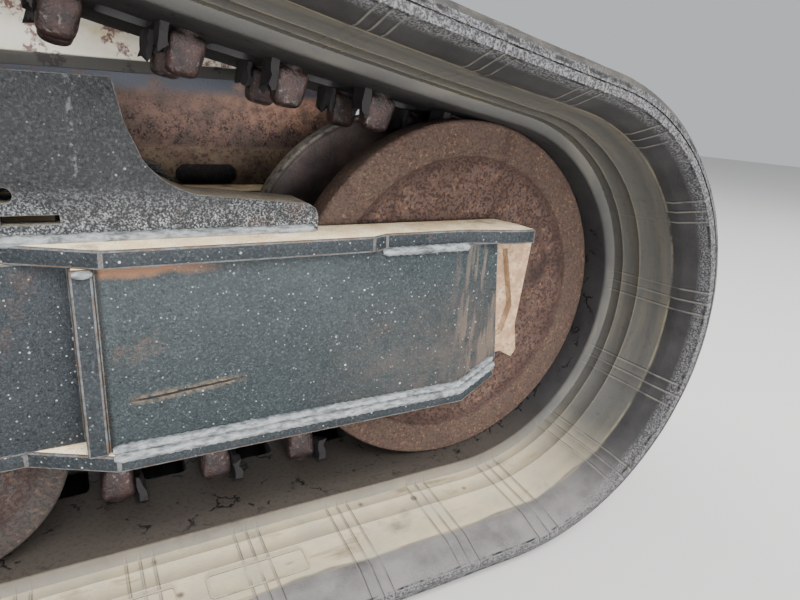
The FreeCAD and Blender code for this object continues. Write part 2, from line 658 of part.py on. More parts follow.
# Mount brackets: a plate with a swept foot on each beam, and a box arm to the chassis rail
def half_bracket(setback, side, reach):
    """Half of a plate, from the middle of its arm out to its swept foot; a front foot has a rim."""
    def at(shift, height):
        return behind(setback + side * shift, height, -BRACKET_INNER_Y)

    shoulder = [at(BRACKET_TOP_HALF + out, BRACKET_TOP - drop) for out, drop in BRACKET_SHOULDER]
    bend, sweep_end = [at(BRACKET_TOP_HALF + out, BRACKET_TOP - drop) for out, drop in BRACKET_SWEEP]
    toe = [at(reach - short, BEAM_HALF_HEIGHT + rise) for short, rise in BRACKET_TOE]
    before = [at(0, BRACKET_TOP)] + shoulder
    after = [sweep_end] + toe + [at(0, BEAM_HALF_HEIGHT), at(0, BRACKET_TOP)]
    edges = [Part.LineSegment(first, second).toShape() for first, second in zip(before, before[1:])]
    edges.append(Part.Arc(shoulder[-1], bend, sweep_end).toShape())
    edges += [Part.LineSegment(first, second).toShape() for first, second in zip(after, after[1:])]
    face = Part.Face(Part.Wire(edges))
    plate = face.extrude(Y_AXIS * -BRACKET_THICKNESS)
    if side > 0:
        return plate
    rim = face.extrude(Y_AXIS * BRACKET_RIM_WIDTH)
    below = rim.translated(Z_AXIS * -BRACKET_RIM_THICKNESS)
    foot_end = setback - BRACKET_TOP_HALF - BRACKET_SHOULDER[-1][0]
    foot_space = block(setback - reach, foot_end, -BRACKET_INNER_Y, -BRACKET_INNER_Y + BRACKET_RIM_WIDTH,
                       BEAM_HALF_HEIGHT, BRACKET_TOP)
    return fused([plate, rim.cut(below).common(foot_space)])


def bracket_cuts(setback):
    """Sling hole and drain slit, ahead of the arm."""
    outer_y = -BRACKET_INNER_Y - BRACKET_THICKNESS
    hole = round_bar(behind(setback - BRACKET_HOLE_SHIFT, BEAM_HALF_HEIGHT + BRACKET_HOLE_RISE),
                     BRACKET_HOLE_RADIUS, outer_y, -BRACKET_INNER_Y)
    slit_low = BEAM_HALF_HEIGHT + BRACKET_SLIT_RISE
    slit = block(setback - BRACKET_SLIT_SHIFT, setback - BRACKET_SLIT_SHIFT + BRACKET_SLIT_LENGTH,
                 outer_y, -BRACKET_INNER_Y, slit_low, slit_low + BRACKET_SLIT_HEIGHT)
    return Part.makeCompound([hole, slit])


def mount_arm(setback):
    half = ARM_WIDTH / 2
    bottom = ARM_TOP - ARM_HEIGHT
    inner_end = CHASSIS_FACE_Y - ARM_FLANGE_THICKNESS
    tube = block(setback - half, setback + half, -BRACKET_INNER_Y, inner_end, bottom, ARM_TOP)
    hollow = block(setback - half + ARM_WALL, setback + half - ARM_WALL, -BRACKET_INNER_Y, inner_end,
                   bottom + ARM_WALL, ARM_TOP - ARM_WALL)
    reach = ARM_FLANGE_LENGTH / 2
    middle = ARM_TOP - ARM_HEIGHT / 2
    flange = block(setback - reach, setback + reach, inner_end, CHASSIS_FACE_Y,
                   middle - ARM_FLANGE_HEIGHT / 2, middle + ARM_FLANGE_HEIGHT / 2)
    return fused([tube.cut(hollow), flange])


rear_bracket_setback = SPROCKET_SETBACK - tooth_tip_radius - ARM_SPROCKET_CLEARANCE - ARM_WIDTH / 2
# Columns: name, setback of the arm, reach of the outboard plate's front foot
mount_brackets = [
    ("front", BRACKET_SETBACK, BRACKET_FRONT_REACH),
    ("rear", rear_bracket_setback, BRACKET_REACH),
]
outer_plates = []
inner_plates = []
for end, setback, front_reach in mount_brackets:
    rear_half = half_bracket(setback, 1, BRACKET_REACH)
    outer_plate = fused([half_bracket(setback, -1, front_reach), rear_half])
    inner_plate = fused([half_bracket(setback, -1, BRACKET_REACH), rear_half])
    hole = block(setback - ARM_WIDTH / 2, setback + ARM_WIDTH / 2, 0, CHASSIS_FACE_Y,
                 ARM_TOP - ARM_HEIGHT, ARM_TOP)
    outer_plates.append(outer_plate.cut(bracket_cuts(setback)))
    inner_plates.append(inboard_copy(inner_plate).cut(hole))
    parts[end + "_mount_arm"] = mount_arm(setback)
parts["outer_bracket_plates"] = Part.makeCompound(outer_plates)
parts["inner_bracket_plates"] = Part.makeCompound(inner_plates)


# Chassis side rail: an upper box band over a set-back lower band with slots
def chassis_rail():
    front = -RAIL_FRONT_OVERHANG
    rear = RAIL_REAR_SETBACK
    inner = CHASSIS_FACE_Y + RAIL_DEPTH
    low_face = CHASSIS_FACE_Y + RAIL_BAND_RECESS
    section = [
        (CHASSIS_FACE_Y, RAIL_LIP), (CHASSIS_FACE_Y, RAIL_TOP), (inner, RAIL_TOP),
        (inner, RAIL_TOP - RAIL_WALL), (CHASSIS_FACE_Y + RAIL_WALL, RAIL_TOP - RAIL_WALL),
        (CHASSIS_FACE_Y + RAIL_WALL, RAIL_LIP + RAIL_WALL), (low_face + RAIL_WALL, RAIL_LIP + RAIL_WALL),
        (low_face + RAIL_WALL, RAIL_BOTTOM + RAIL_WALL), (inner, RAIL_BOTTOM + RAIL_WALL),
        (inner, RAIL_BOTTOM), (low_face, RAIL_BOTTOM), (low_face, RAIL_LIP),
    ]
    face = polygon_face([behind(front, z, y) for y, z in section])
    rail = face.extrude(X_AXIS * (front - rear))
    slots = []
    for number in range(SLOT_COUNT):
        start = SLOT_FIRST_SETBACK - SLOT_LENGTH + number * SLOT_PITCH
        finish = start + SLOT_LENGTH
        top = RAIL_BAND_BOTTOM
        low = top - SLOT_HEIGHT
        corner = SLOT_CORNER
        outline = [
            (start, low + corner), (start + corner, low), (finish - corner, low), (finish, low + corner),
            (finish, top - corner), (finish - corner, top), (start + corner, top), (start, top - corner),
        ]
        slots.append(side_plate(outline, low_face, low_face + RAIL_WALL))
    return rail.cut(Part.makeCompound(slots))


def side_plate_sheet():
    """Chassis side plate, with a foot that stands on the rail."""
    rear = RAIL_REAR_SETBACK
    front = SIDE_PLATE_FRONT_SETBACK
    shoulder = SIDE_PLATE_BOTTOM + CHASSIS_BOLT_EDGE + CHASSIS_BOLT_SPACING_Z + SIDE_PLATE_SHOULDER_MARGIN
    outline = [
        (front, SIDE_PLATE_BOTTOM), (rear, SIDE_PLATE_BOTTOM), (rear, SIDE_PLATE_TOP),
        (SPROCKET_SETBACK - SIDE_PLATE_FROM_SPROCKET, SIDE_PLATE_TOP),
        (front + SIDE_PLATE_SHOULDER_LENGTH, shoulder), (front, SIDE_PLATE_BOTTOM + SIDE_PLATE_FRONT_HEIGHT),
    ]
    inner_face = CHASSIS_FACE_Y + SIDE_PLATE_THICKNESS
    sheet = side_plate(outline, CHASSIS_FACE_Y, inner_face)
    foot_section = [
        (inner_face, RAIL_TOP), (CHASSIS_FACE_Y + RAIL_DEPTH, RAIL_TOP),
        (CHASSIS_FACE_Y + RAIL_DEPTH, RAIL_TOP + SIDE_PLATE_THICKNESS),
        (inner_face + SIDE_PLATE_THICKNESS, RAIL_TOP + SIDE_PLATE_THICKNESS),
        (inner_face + SIDE_PLATE_THICKNESS, SIDE_PLATE_BOTTOM + SIDE_PLATE_FOOT_LAP),
        (inner_face, SIDE_PLATE_BOTTOM + SIDE_PLATE_FOOT_LAP),
    ]
    foot = polygon_face([behind(front, z, y) for y, z in foot_section]).extrude(X_AXIS * (front - rear))
    return fused([sheet, foot])


motor_hole = round_bar(SPROCKET_CENTRE, MOTOR_RADIUS, CHASSIS_FACE_Y, CHASSIS_FACE_Y + RAIL_DEPTH)
parts["chassis_rail"] = chassis_rail().cut(motor_hole)
plate = side_plate_sheet()
bolt_holes = []
for x_side in (-1, 1):
    for row in (0, 1):
        centre = behind(CHASSIS_BOLT_SETBACK + x_side * CHASSIS_BOLT_SPACING_X / 2,
                        SIDE_PLATE_BOTTOM + CHASSIS_BOLT_EDGE + row * CHASSIS_BOLT_SPACING_Z)
        bolt_holes.append(round_bar(centre, CHASSIS_BOLT_RADIUS, CHASSIS_FACE_Y, CHASSIS_FACE_Y + RAIL_DEPTH))
parts["chassis_side_plate"] = plate.cut(Part.makeCompound([motor_hole] + bolt_holes))


# Drive sprocket: teeth reach into the belt's windows between the lug pairs
def drive_sprocket():
    root = SPROCKET_PITCH_RADIUS - PITCH_LINE_DEPTH - ROOT_CLEARANCE
    disc = round_bar(SPROCKET_CENTRE, root, -SPROCKET_HALF_THICKNESS, SPROCKET_HALF_THICKNESS)
    front_arc = segment_length(LOOP[0]) + segment_length(LOOP[1])
    first = math.ceil((front_arc + FIRST_LUG_SETBACK) / LINK_PITCH) + 0.5
    _point, angle = station(first * LINK_PITCH - FIRST_LUG_SETBACK)
    teeth = []
    for tooth in range(SPROCKET_TEETH):
        turn = angle + tooth * 2 * math.pi / SPROCKET_TEETH
        normal = direction(turn)
        along = direction(turn + math.pi / 2)
        outline = [
            (-TOOTH_LENGTH_ROOT / 2, root - FUSE_DEPTH), (TOOTH_LENGTH_ROOT / 2, root - FUSE_DEPTH),
            (TOOTH_LENGTH_ROOT / 2, root), (TOOTH_LENGTH_TIP / 2, tooth_tip_radius),
            (-TOOTH_LENGTH_TIP / 2, tooth_tip_radius), (-TOOTH_LENGTH_ROOT / 2, root),
        ]
        face = polygon_face([
            SPROCKET_CENTRE + along * shift + normal * reach - Y_AXIS * SPROCKET_HALF_THICKNESS
            for shift, reach in outline
        ])
        teeth.append(face.extrude(Y_AXIS * SPROCKET_HALF_THICKNESS * 2))
    bore = round_bar(SPROCKET_CENTRE, SPROCKET_BORE_RADIUS, -SPROCKET_HALF_THICKNESS, SPROCKET_HALF_THICKNESS)
    return disc.multiFuse(teeth).cut(bore)


def final_drive():
    """Gearbox barrel: sprocket pilot outboard, chassis flange inboard."""
    pilot = SPROCKET_BORE_RADIUS - SEAT_CLEARANCE
    flange_y = CHASSIS_FACE_Y - FINAL_DRIVE_FLANGE_THICKNESS
    profile = [
        (-SPROCKET_HALF_THICKNESS, 0), (-SPROCKET_HALF_THICKNESS, pilot), (SPROCKET_HALF_THICKNESS, pilot),
        (SPROCKET_HALF_THICKNESS, FINAL_DRIVE_RADIUS), (flange_y, FINAL_DRIVE_RADIUS),
        (flange_y, FINAL_DRIVE_FLANGE_RADIUS), (CHASSIS_FACE_Y, FINAL_DRIVE_FLANGE_RADIUS), (CHASSIS_FACE_Y, 0),
    ]
    return turned(profile, SPROCKET_CENTRE)


def drive_motor():
    """Hydraulic motor through the side plate, with a port block on top."""
    radius = MOTOR_RADIUS - MOTOR_HOLE_CLEARANCE
    end_y = CHASSIS_FACE_Y + MOTOR_LENGTH
    body = round_bar(SPROCKET_CENTRE, radius, CHASSIS_FACE_Y, end_y)
    middle_y = (CHASSIS_FACE_Y + SIDE_PLATE_THICKNESS * 2 + end_y) / 2
    bottom = SPROCKET_CENTRE.z + radius - PORT_BLOCK_SINK
    ports = Part.makeBox(PORT_BLOCK_LENGTH, PORT_BLOCK_WIDTH, PORT_BLOCK_HEIGHT,
                         Vector(SPROCKET_CENTRE.x - PORT_BLOCK_LENGTH / 2, middle_y - PORT_BLOCK_WIDTH / 2, bottom))
    motor = body.fuse(ports)
    for side in (-1, 1):
        mouth = Vector(SPROCKET_CENTRE.x + side * PORT_SPACING / 2, middle_y, bottom + PORT_BLOCK_HEIGHT)
        motor = motor.cut(Part.makeCylinder(PORT_RADIUS, PORT_DEPTH, mouth, Z_AXIS * -1))
    return motor


parts["drive_sprocket"] = drive_sprocket()
parts["sprocket_cover"] = round_bar(
    SPROCKET_CENTRE, COVER_RADIUS, -SPROCKET_HALF_THICKNESS - COVER_DEPTH, -SPROCKET_HALF_THICKNESS)
parts["final_drive"] = final_drive()
parts["drive_motor"] = drive_motor()


os.makedirs("parts", exist_ok=True)
for name, shape in parts.items():
    if not shape.isValid():
        print("invalid", name)
    print(name, len(shape.Solids), round(shape.Volume / 1000), "cm3")
    shape.exportStep("parts/%s.step" % name)
print("wheelbase", round(WHEELBASE, 1), "sprocket", SPROCKET_CENTRE)
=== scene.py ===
import json
import math

import bmesh
import bpy
from mathutils import Matrix, Vector

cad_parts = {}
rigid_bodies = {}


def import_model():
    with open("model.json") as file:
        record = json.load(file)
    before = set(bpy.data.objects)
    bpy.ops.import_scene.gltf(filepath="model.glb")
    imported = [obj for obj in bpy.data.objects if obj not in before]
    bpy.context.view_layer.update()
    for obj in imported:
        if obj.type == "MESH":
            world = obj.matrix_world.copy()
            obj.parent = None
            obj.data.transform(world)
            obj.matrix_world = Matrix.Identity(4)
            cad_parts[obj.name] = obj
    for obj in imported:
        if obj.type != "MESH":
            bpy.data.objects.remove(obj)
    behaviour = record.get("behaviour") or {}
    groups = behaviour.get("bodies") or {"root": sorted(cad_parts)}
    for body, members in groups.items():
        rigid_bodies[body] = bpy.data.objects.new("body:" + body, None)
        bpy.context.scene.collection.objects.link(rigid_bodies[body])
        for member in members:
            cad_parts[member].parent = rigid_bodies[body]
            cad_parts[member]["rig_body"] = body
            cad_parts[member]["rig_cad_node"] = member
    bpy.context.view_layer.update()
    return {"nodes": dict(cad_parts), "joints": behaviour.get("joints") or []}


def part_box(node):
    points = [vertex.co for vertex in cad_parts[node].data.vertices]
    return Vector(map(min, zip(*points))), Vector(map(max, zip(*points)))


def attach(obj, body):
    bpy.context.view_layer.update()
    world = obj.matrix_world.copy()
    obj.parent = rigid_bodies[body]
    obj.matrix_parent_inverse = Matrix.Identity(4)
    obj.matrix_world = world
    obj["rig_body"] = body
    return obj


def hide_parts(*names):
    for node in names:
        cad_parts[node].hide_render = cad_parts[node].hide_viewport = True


# Looks of the right-hand track undercarriage of a compact track loader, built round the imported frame.
# Metres: X points forward, Y inboard to the machine, Z up, and the origin is on the ground.
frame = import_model()
nodes = frame["nodes"]
mm = 0.001

# Stage: a plain pale floor, a bright even sky and large soft panels, and the photograph's camera,
# which stands close outside the beam, looks forward and inboard, and leans a few degrees.
FLOOR_DROP = 0.4 * mm
bpy.ops.object.select_all(action="DESELECT")
bpy.ops.mesh.primitive_plane_add(size=16, location=(0, 0, -FLOOR_DROP))
bpy.ops.object.transform_apply()
floor = bpy.context.object
floor.name = "floor"
floor_finish = bpy.data.materials.new("pale_floor")
floor_finish.use_nodes = True
floor_shader = floor_finish.node_tree.nodes["Principled BSDF"]
floor_shader.inputs["Base Color"].default_value = (0.62, 0.61, 0.59, 1)
floor_shader.inputs["Roughness"].default_value = 0.9
floor.data.materials.append(floor_finish)

world = bpy.data.worlds.new("studio")
world.use_nodes = True
world.node_tree.nodes["Background"].inputs["Color"].default_value = (0.93, 0.96, 1.0, 1)
world.node_tree.nodes["Background"].inputs["Strength"].default_value = 0.6
bpy.context.scene.world = world


def soft_panel(name, place, aim, width, height, power, spread=180):
    """Soft light panel at a place, turned to face a point."""
    bpy.ops.object.light_add(type="AREA", location=place)
    panel = bpy.context.object
    panel.name = name
    panel.data.shape = "RECTANGLE"
    panel.data.size, panel.data.size_y = width, height
    panel.data.energy = power
    panel.data.spread = math.radians(spread)
    panel.rotation_euler = (Vector(aim) - Vector(place)).to_track_quat("-Z", "Y").to_euler()


soft_panel("panel_outboard", (0.6, -2.3, 2.6), (0.4, 0, 0.2), 2.6, 2.0, 240)
soft_panel("panel_low_side", (0.2, -3.3, 0.34), (0.4, 0.2, 0.38), 2.8, 0.66, 45, 80)
soft_panel("panel_inboard", (-0.3, 3.2, 2.2), (0, 0, 0.3), 2.6, 2.0, 170)
soft_panel("panel_front", (3.4, -0.6, 1.6), (0.7, 0, 0.2), 2.0, 1.6, 25)

CAMERA_PLACE = Vector((0.4328, -0.5672, 0.4072))
side_axis = Vector((0.87694, -0.47676, 0.06071))
view_axis = Vector((0.47094, 0.82721, -0.30650))
up_axis = side_axis.cross(view_axis)
bpy.ops.object.camera_add()
camera = bpy.context.object
camera.name = "camera"
camera.data.sensor_width = 36
camera.data.lens = 27.2
camera.data.clip_start = 0.01
turned_axes = Matrix((side_axis, up_axis, -view_axis)).transposed()
camera.matrix_world = Matrix.Translation(CAMERA_PLACE) @ turned_axes.to_4x4()
bpy.context.scene.camera = camera


# Rubber belt: 52 moulded links round steel cores, with a window and a tread bar each. It is one
# endless loop, so a link is shaped flat, repeated, and bent round the two idlers and the sprocket.
def pick(kind, test):
    """In edit mode, selects the vertices, edges or faces whose place, and direction, pass a test."""
    bpy.ops.mesh.select_mode(type=kind)
    bpy.ops.mesh.select_all(action="DESELECT")
    shape = bmesh.from_edit_mesh(bpy.context.object.data)
    if kind == "VERT":
        for corner in shape.verts:
            corner.select = test(corner.co)
    elif kind == "EDGE":
        for edge in shape.edges:
            first, second = (corner.co for corner in edge.verts)
            edge.select = test((first + second) / 2, (second - first).normalized())
    else:
        for face in shape.faces:
            face.select = test(face.calc_center_median(), face.normal)
    shape.select_flush_mode()
    bmesh.update_edit_mesh(bpy.context.object.data)


def near(value, mark, reach=0.1 * mm):
    return abs(value - mark) < reach


def slice_at(axis, places):
    """In edit mode, cuts the whole piece across an axis at each place."""
    for place in places:
        bpy.ops.mesh.select_all(action="SELECT")
        bpy.ops.mesh.bisect(plane_co=axis * place, plane_no=axis)


def shift(x=0.0, y=0.0, z=0.0):
    """In edit mode, moves what is selected."""
    bpy.ops.transform.translate(value=(x, y, z))


def draw_out(x=0.0, y=0.0, z=0.0):
    """In edit mode, extrudes what is selected."""
    bpy.ops.mesh.extrude_region_move(TRANSFORM_OT_translate={"value": (x, y, z)})


def start_block(name, low, high):
    """Block between two corners, open for shaping in edit mode."""
    bpy.ops.object.select_all(action="DESELECT")
    low, high = Vector(low), Vector(high)
    bpy.ops.mesh.primitive_cube_add(size=1, location=(low + high) / 2)
    bpy.context.object.name = name
    bpy.context.object.scale = high - low
    bpy.ops.object.transform_apply()
    bpy.ops.object.mode_set(mode="EDIT")
    return bpy.context.object


def take(piece):
    """Leaves one piece selected, and makes it the active one."""
    bpy.ops.object.select_all(action="DESELECT")
    piece.select_set(True)
    bpy.context.view_layer.objects.active = piece


def apply_modifier(piece, kind, **settings):
    """Adds a modifier and works it into the mesh."""
    take(piece)
    modifier = piece.modifiers.new(kind, kind)
    for setting, value in settings.items():
        setattr(modifier, setting, value)
    bpy.ops.object.modifier_apply(modifier=modifier.name)


def repeat_links(piece, **merging):
    """The piece of one link, set in a row as often as the belt has links."""
    apply_modifier(piece, "ARRAY", count=LINK_COUNT, use_relative_offset=False, use_constant_offset=True,
                   constant_offset_displace=(LINK_PITCH, 0, 0), **merging)


def cloudy(name, size):
    """Soft uneven texture with lumps of a size in metres."""
    texture = bpy.data.textures.new(name, "CLOUDS")
    texture.noise_scale = size
    return texture


def roughen(piece, texture, strength, **how):
    """Moves the points of a piece in and out by a texture."""
    apply_modifier(piece, "DISPLACE", texture=texture, strength=strength, mid_level=0.5,
                   texture_coords="LOCAL", **how)


def ease_edges(piece, width, angle=25, **more):
    """Rounds the edges that turn by more than an angle in degrees."""
    apply_modifier(piece, "BEVEL", width=width, segments=2, limit_method="ANGLE",
                   angle_limit=math.radians(angle), **more)


def smooth_faces(piece, angle=35):
    """Smooth shading, sharp again where faces turn by more than an angle in degrees."""
    take(piece)
    bpy.ops.object.shade_smooth_by_angle(angle=math.radians(angle))


def own_map(piece, name):
    """A new UV map in place of the one that the piece began with."""
    piece.data.uv_layers.remove(piece.data.uv_layers[0])
    return piece.data.uv_layers.new(name=name)


def fit(piece, finish, body, slot, *stands_for):
    """The piece gets its finish, moves with its body and stands for frame nodes; slot is not used."""
    piece.data.materials.append(finish)
    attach(piece, body)
    if stands_for:
        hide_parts(*stands_for)


def direction(angle):
    """Unit vector in the XZ plane, the angle in radians from +X towards +Z."""
    return Vector((math.cos(angle), 0, math.sin(angle)))


LINK_PITCH = 86 * mm
LINK_COUNT = 52
LUG_SETBACK = 83 * mm
IDLER_LINE = 175.3 * mm
SPROCKET_LINE = 17 * LINK_PITCH / (2 * math.pi)
SAG_RADIUS = 7.0
FULL_KNOT_TURN = math.radians(30)
FRONT_RUN_FALL = 10.3

axles = {joint["child"]: Vector(joint["pos_m"]) for joint in frame["joints"]}
front_axle, rear_axle = axles["front_idler"], axles["rear_idler"]
cover_low, cover_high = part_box("sprocket_cover")
sprocket_axle = (cover_low + cover_high) / 2
sprocket_axle.y = 0

start_turn = math.radians(90 - FRONT_RUN_FALL)
sag_centre = front_axle + direction(start_turn) * (SAG_RADIUS + IDLER_LINE)
to_sprocket = sag_centre - sprocket_axle
end_turn = math.atan2(to_sprocket.z, to_sprocket.x)
to_rear = rear_axle - sprocket_axle
lean = math.acos((SPROCKET_LINE - IDLER_LINE) / to_rear.length)
rear_turn = math.atan2(to_rear.z, to_rear.x) % (2 * math.pi) - lean
arcs = [
    (front_axle, IDLER_LINE, -math.pi / 2, start_turn),
    (sag_centre, -SAG_RADIUS, start_turn, end_turn),
    (sprocket_axle, SPROCKET_LINE, end_turn, rear_turn),
    (rear_axle, IDLER_LINE, rear_turn, 1.5 * math.pi),
]
knots = []
for centre, radius, first, last in arcs:
    steps = max(1, math.ceil(abs(last - first) / FULL_KNOT_TURN))
    reach = 4 / 3 * math.tan(abs(last - first) / steps / 4) * abs(radius)
    for step in range(steps + 1):
        turn = first + (last - first) * step / steps
        point = centre + direction(turn) * radius
        before = reach if step else None
        after = reach if step < steps else None
        if knots and before is None and (knots[-1][0] - point).length < 0.1 * mm:
            knots[-1][3] = after
        else:
            knots.append([point, direction(turn + math.pi / 2), before, after])
bottom_start = front_axle - Vector((LUG_SETBACK, 0, IDLER_LINE))
knots.insert(0, [bottom_start, Vector((1, 0, 0)), None, None])
line_data = bpy.data.curves.new("belt_line", "CURVE")
line_data.dimensions = "3D"
line_data.twist_mode = "MINIMUM"
line_data.resolution_u = 48
spline = line_data.splines.new("BEZIER")
spline.bezier_points.add(len(knots) - 1)
spline.use_cyclic_u = True
for index, (point, along, before, after) in enumerate(knots):
    ahead = knots[(index + 1) % len(knots)][0]
    behind = knots[index - 1][0]
    knot = spline.bezier_points[index]
    knot.handle_left_type = knot.handle_right_type = "FREE"
    knot.co = point
    knot.handle_left = point - along * (before or (point - behind).length / 3)
    knot.handle_right = point + along * (after or (ahead - point).length / 3)
belt_line = bpy.data.objects.new("belt_line", line_data)
bpy.context.scene.collection.objects.link(belt_line)

X_AXIS, Y_AXIS, Z_AXIS = Vector((1, 0, 0)), Vector((0, 1, 0)), Vector((0, 0, 1))
RAIL_FACE = 2 * mm
HALF_BELT = 225 * mm
THICKNESS = 32 * mm
TREAD_INNER = 203 * mm
BAR_HEIGHT, SHOULDER_HEIGHT = 20 * mm, 14 * mm
BAR_TAPER = 7 * mm
WINDOW_FROM, WINDOW_TO, WINDOW_HALF = 23 * mm, 63 * mm, 25 * mm
WINDOW_CORNER = 7 * mm
BAR_END, BAR_START = 20 * mm, 66 * mm
SHEATH_FROM, SHEATH_TO, SHEATH_HALF = 16 * mm, 23 * mm, 57 * mm
RAIL_EDGE, RAIL_EDGE_ROUND = 119 * mm, 2 * mm
RIDGE_FROM, RIDGE_HEIGHT = 122 * mm, 0.45 * mm
# Along a link, in millimetres: where the moulded cross ridges and the other cuts are
CROSS_RIDGES = [7, 17, 82.5]
CROSS_CUTS = [12, 20, 23, 33, 43, 53, 63, 66, 74]
# Columns: distance from the middle of the belt, depth below the rail face, in millimetres
SECTION_ROWS = [
    (123, 9), (133, 10.1), (134, 9.7), (135, 10.3), (153, 12.2), (154, 11.8), (155, 12.4),
    (177, 14.7), (199, 17), (203, 18.5), (214, 22.8),
]
EDGE_ROW = (225, 27)
PLAIN_ROWS = [25, 33, 41, 49, 57, 88, 119]
# These rows shape the inner face only, so the tread's flat faces do without them
INNER_FACE_ROWS = [33, 41, 49, 57, 123, 133, 134, 135, 153, 154, 199]
# Depths below the rail face on the side: the mould's seam, and the chamfer as (depth, distance inward)
SEAM_TOP, SEAM_FOOT, SEAM_SINK = 33, 34.2, 1.6
SIDE_CHAMFER = ((40, 2.5), (46, 9))

link = start_block("belt_rubber", (0, -HALF_BELT, RAIL_FACE - THICKNESS), (LINK_PITCH, HALF_BELT, RAIL_FACE))
rows = PLAIN_ROWS + [row for row, depth in SECTION_ROWS]
slice_at(Y_AXIS, [side * row * mm for row in rows for side in (-1, 1)])
ridge_cuts = [place + step for place in CROSS_RIDGES for step in (-1, 0, 1)]
slice_at(X_AXIS, [place * mm for place in sorted(ridge_cuts + CROSS_CUTS)])
for row, depth in SECTION_ROWS + [EDGE_ROW]:
    pick("VERT", lambda place: place.z > 0 and near(abs(place.y), row * mm))
    shift(z=-depth * mm)
for ridge in CROSS_RIDGES:
    pick("VERT", lambda place: near(place.x, ridge * mm) and abs(place.y) > RIDGE_FROM and place.z > -26 * mm)
    shift(z=RIDGE_HEIGHT)

pick("FACE", lambda place, normal: normal.z < -0.9 and abs(place.y) < TREAD_INNER
     and not BAR_END < place.x < BAR_START)
draw_out(z=-BAR_HEIGHT)
pick("FACE", lambda place, normal: normal.z < -0.9 and abs(place.y) > TREAD_INNER)
draw_out(z=-SHOULDER_HEIGHT)
slice_at(Z_AXIS, [RAIL_FACE - depth * mm for depth in (SEAM_TOP, SEAM_FOOT, 40)])
pick("EDGE", lambda place, along: abs(along.y) < 0.5 and place.z < RAIL_FACE - THICKNESS + 1 * mm
     and any(near(abs(place.y), row * mm) for row in INNER_FACE_ROWS))
bpy.ops.mesh.dissolve_edges()
pick("FACE", lambda place, normal: abs(place.y) > HALF_BELT - 1 * mm
     and RAIL_FACE - (SEAM_FOOT - 0.1) * mm < place.z < RAIL_FACE - (SEAM_TOP + 0.1) * mm)
bpy.ops.mesh.inset(thickness=0.01 * mm, depth=-SEAM_SINK * mm)
for side in (-1, 1):
    for depth, inward in SIDE_CHAMFER:
        pick("VERT", lambda place: place.y * side > HALF_BELT - 1 * mm
             and near(place.z, RAIL_FACE - depth * mm, 0.2 * mm))
        shift(y=-side * inward * mm)
    pick("VERT", lambda place: near(place.y * side, TREAD_INNER, 1 * mm) and place.z < -49 * mm)
    shift(y=-side * BAR_TAPER)

pick("FACE", lambda place, normal: abs(place.y) < WINDOW_HALF and WINDOW_FROM < place.x < WINDOW_TO
     and abs(normal.z) > 0.9)
bpy.ops.mesh.bridge_edge_loops()
pick("EDGE", lambda place, along: abs(along.z) > 0.9 and near(abs(place.y), WINDOW_HALF)
     and (near(place.x, WINDOW_FROM) or near(place.x, WINDOW_TO)))
bpy.ops.mesh.bevel(offset=WINDOW_CORNER, segments=3)
pick("EDGE", lambda place, along: abs(along.x) > 0.9 and near(abs(place.y), RAIL_EDGE) and place.z > 1 * mm)
bpy.ops.mesh.bevel(offset=RAIL_EDGE_ROUND, segments=2)

# A torn sheath of rubber stands up before each lug, drawn out in four steps and frayed by a texture
SHEATH_STEPS = ((0, 6), (-1, 5), (-1, 5), (0, 4))
pick("FACE", lambda place, normal: normal.z > 0.9 and SHEATH_FROM < place.x < SHEATH_TO
     and WINDOW_HALF < abs(place.y) < SHEATH_HALF)
for drift, rise in SHEATH_STEPS:
    draw_out(x=drift * mm, z=rise * mm)
pick("FACE", lambda place, normal: abs(normal.x) > 0.9
     and (place.x < 0.1 * mm or place.x > LINK_PITCH - 0.1 * mm))
bpy.ops.mesh.delete(type="FACE")
bpy.ops.object.mode_set(mode="OBJECT")
SHEATH_FOOT, SHEATH_TIP = RAIL_FACE + 4 * mm, RAIL_FACE + 12 * mm
torn = link.vertex_groups.new(name="torn")
for low, high, share in ((SHEATH_TIP, 1.0, 1.0), (SHEATH_FOOT, SHEATH_TIP, 0.35)):
    torn.add([corner.index for corner in link.data.vertices if low < corner.co.z <= high], share, "REPLACE")

repeat_links(link, use_merge_vertices=True, merge_threshold=0.05 * mm)
# The finish reads U along the belt and V across it; the tread's V is set apart by a shift
TREAD_SHIFT = 1.0
belt_map = own_map(link, "along_across")
for face in link.data.polygons:
    on_tread = face.center.z < RAIL_FACE - THICKNESS + 1 * mm and abs(face.normal.y) < 0.7
    for index in face.loop_indices:
        place = link.data.vertices[link.data.loops[index].vertex_index].co
        belt_map.data[index].uv = (place.x, abs(place.y) + TREAD_SHIFT if on_tread else place.y)
tear = cloudy("tear", 0.011)
roughen(link, tear, 26 * mm, direction="Z", vertex_group="torn")
roughen(link, tear, 12 * mm, direction="X", vertex_group="torn")
apply_modifier(link, "CURVE", object=belt_line, deform_axis="POS_X")
roughen(link, cloudy("wear", 0.035), 0.8 * mm)
bpy.ops.object.mode_set(mode="EDIT")
bpy.ops.mesh.select_all(action="SELECT")
bpy.ops.mesh.remove_doubles(threshold=0.3 * mm)
bpy.ops.object.mode_set(mode="OBJECT")
smooth_faces(link, 40)


def tone(red, green, blue):
    """A colour as a painter reads it on a screen, 0 to 255, as the light that it returns."""
    return tuple((value / 255) ** 2.2 for value in (red, green, blue)) + (1.0,)


def new_finish(name, metallic=0.0, specular=0.5):
    finish = bpy.data.materials.new(name)
    finish.use_nodes = True
    shader = finish.node_tree.nodes["Principled BSDF"]
    shader.inputs["Metallic"].default_value = metallic
    shader.inputs["Specular IOR Level"].default_value = specular
    return finish


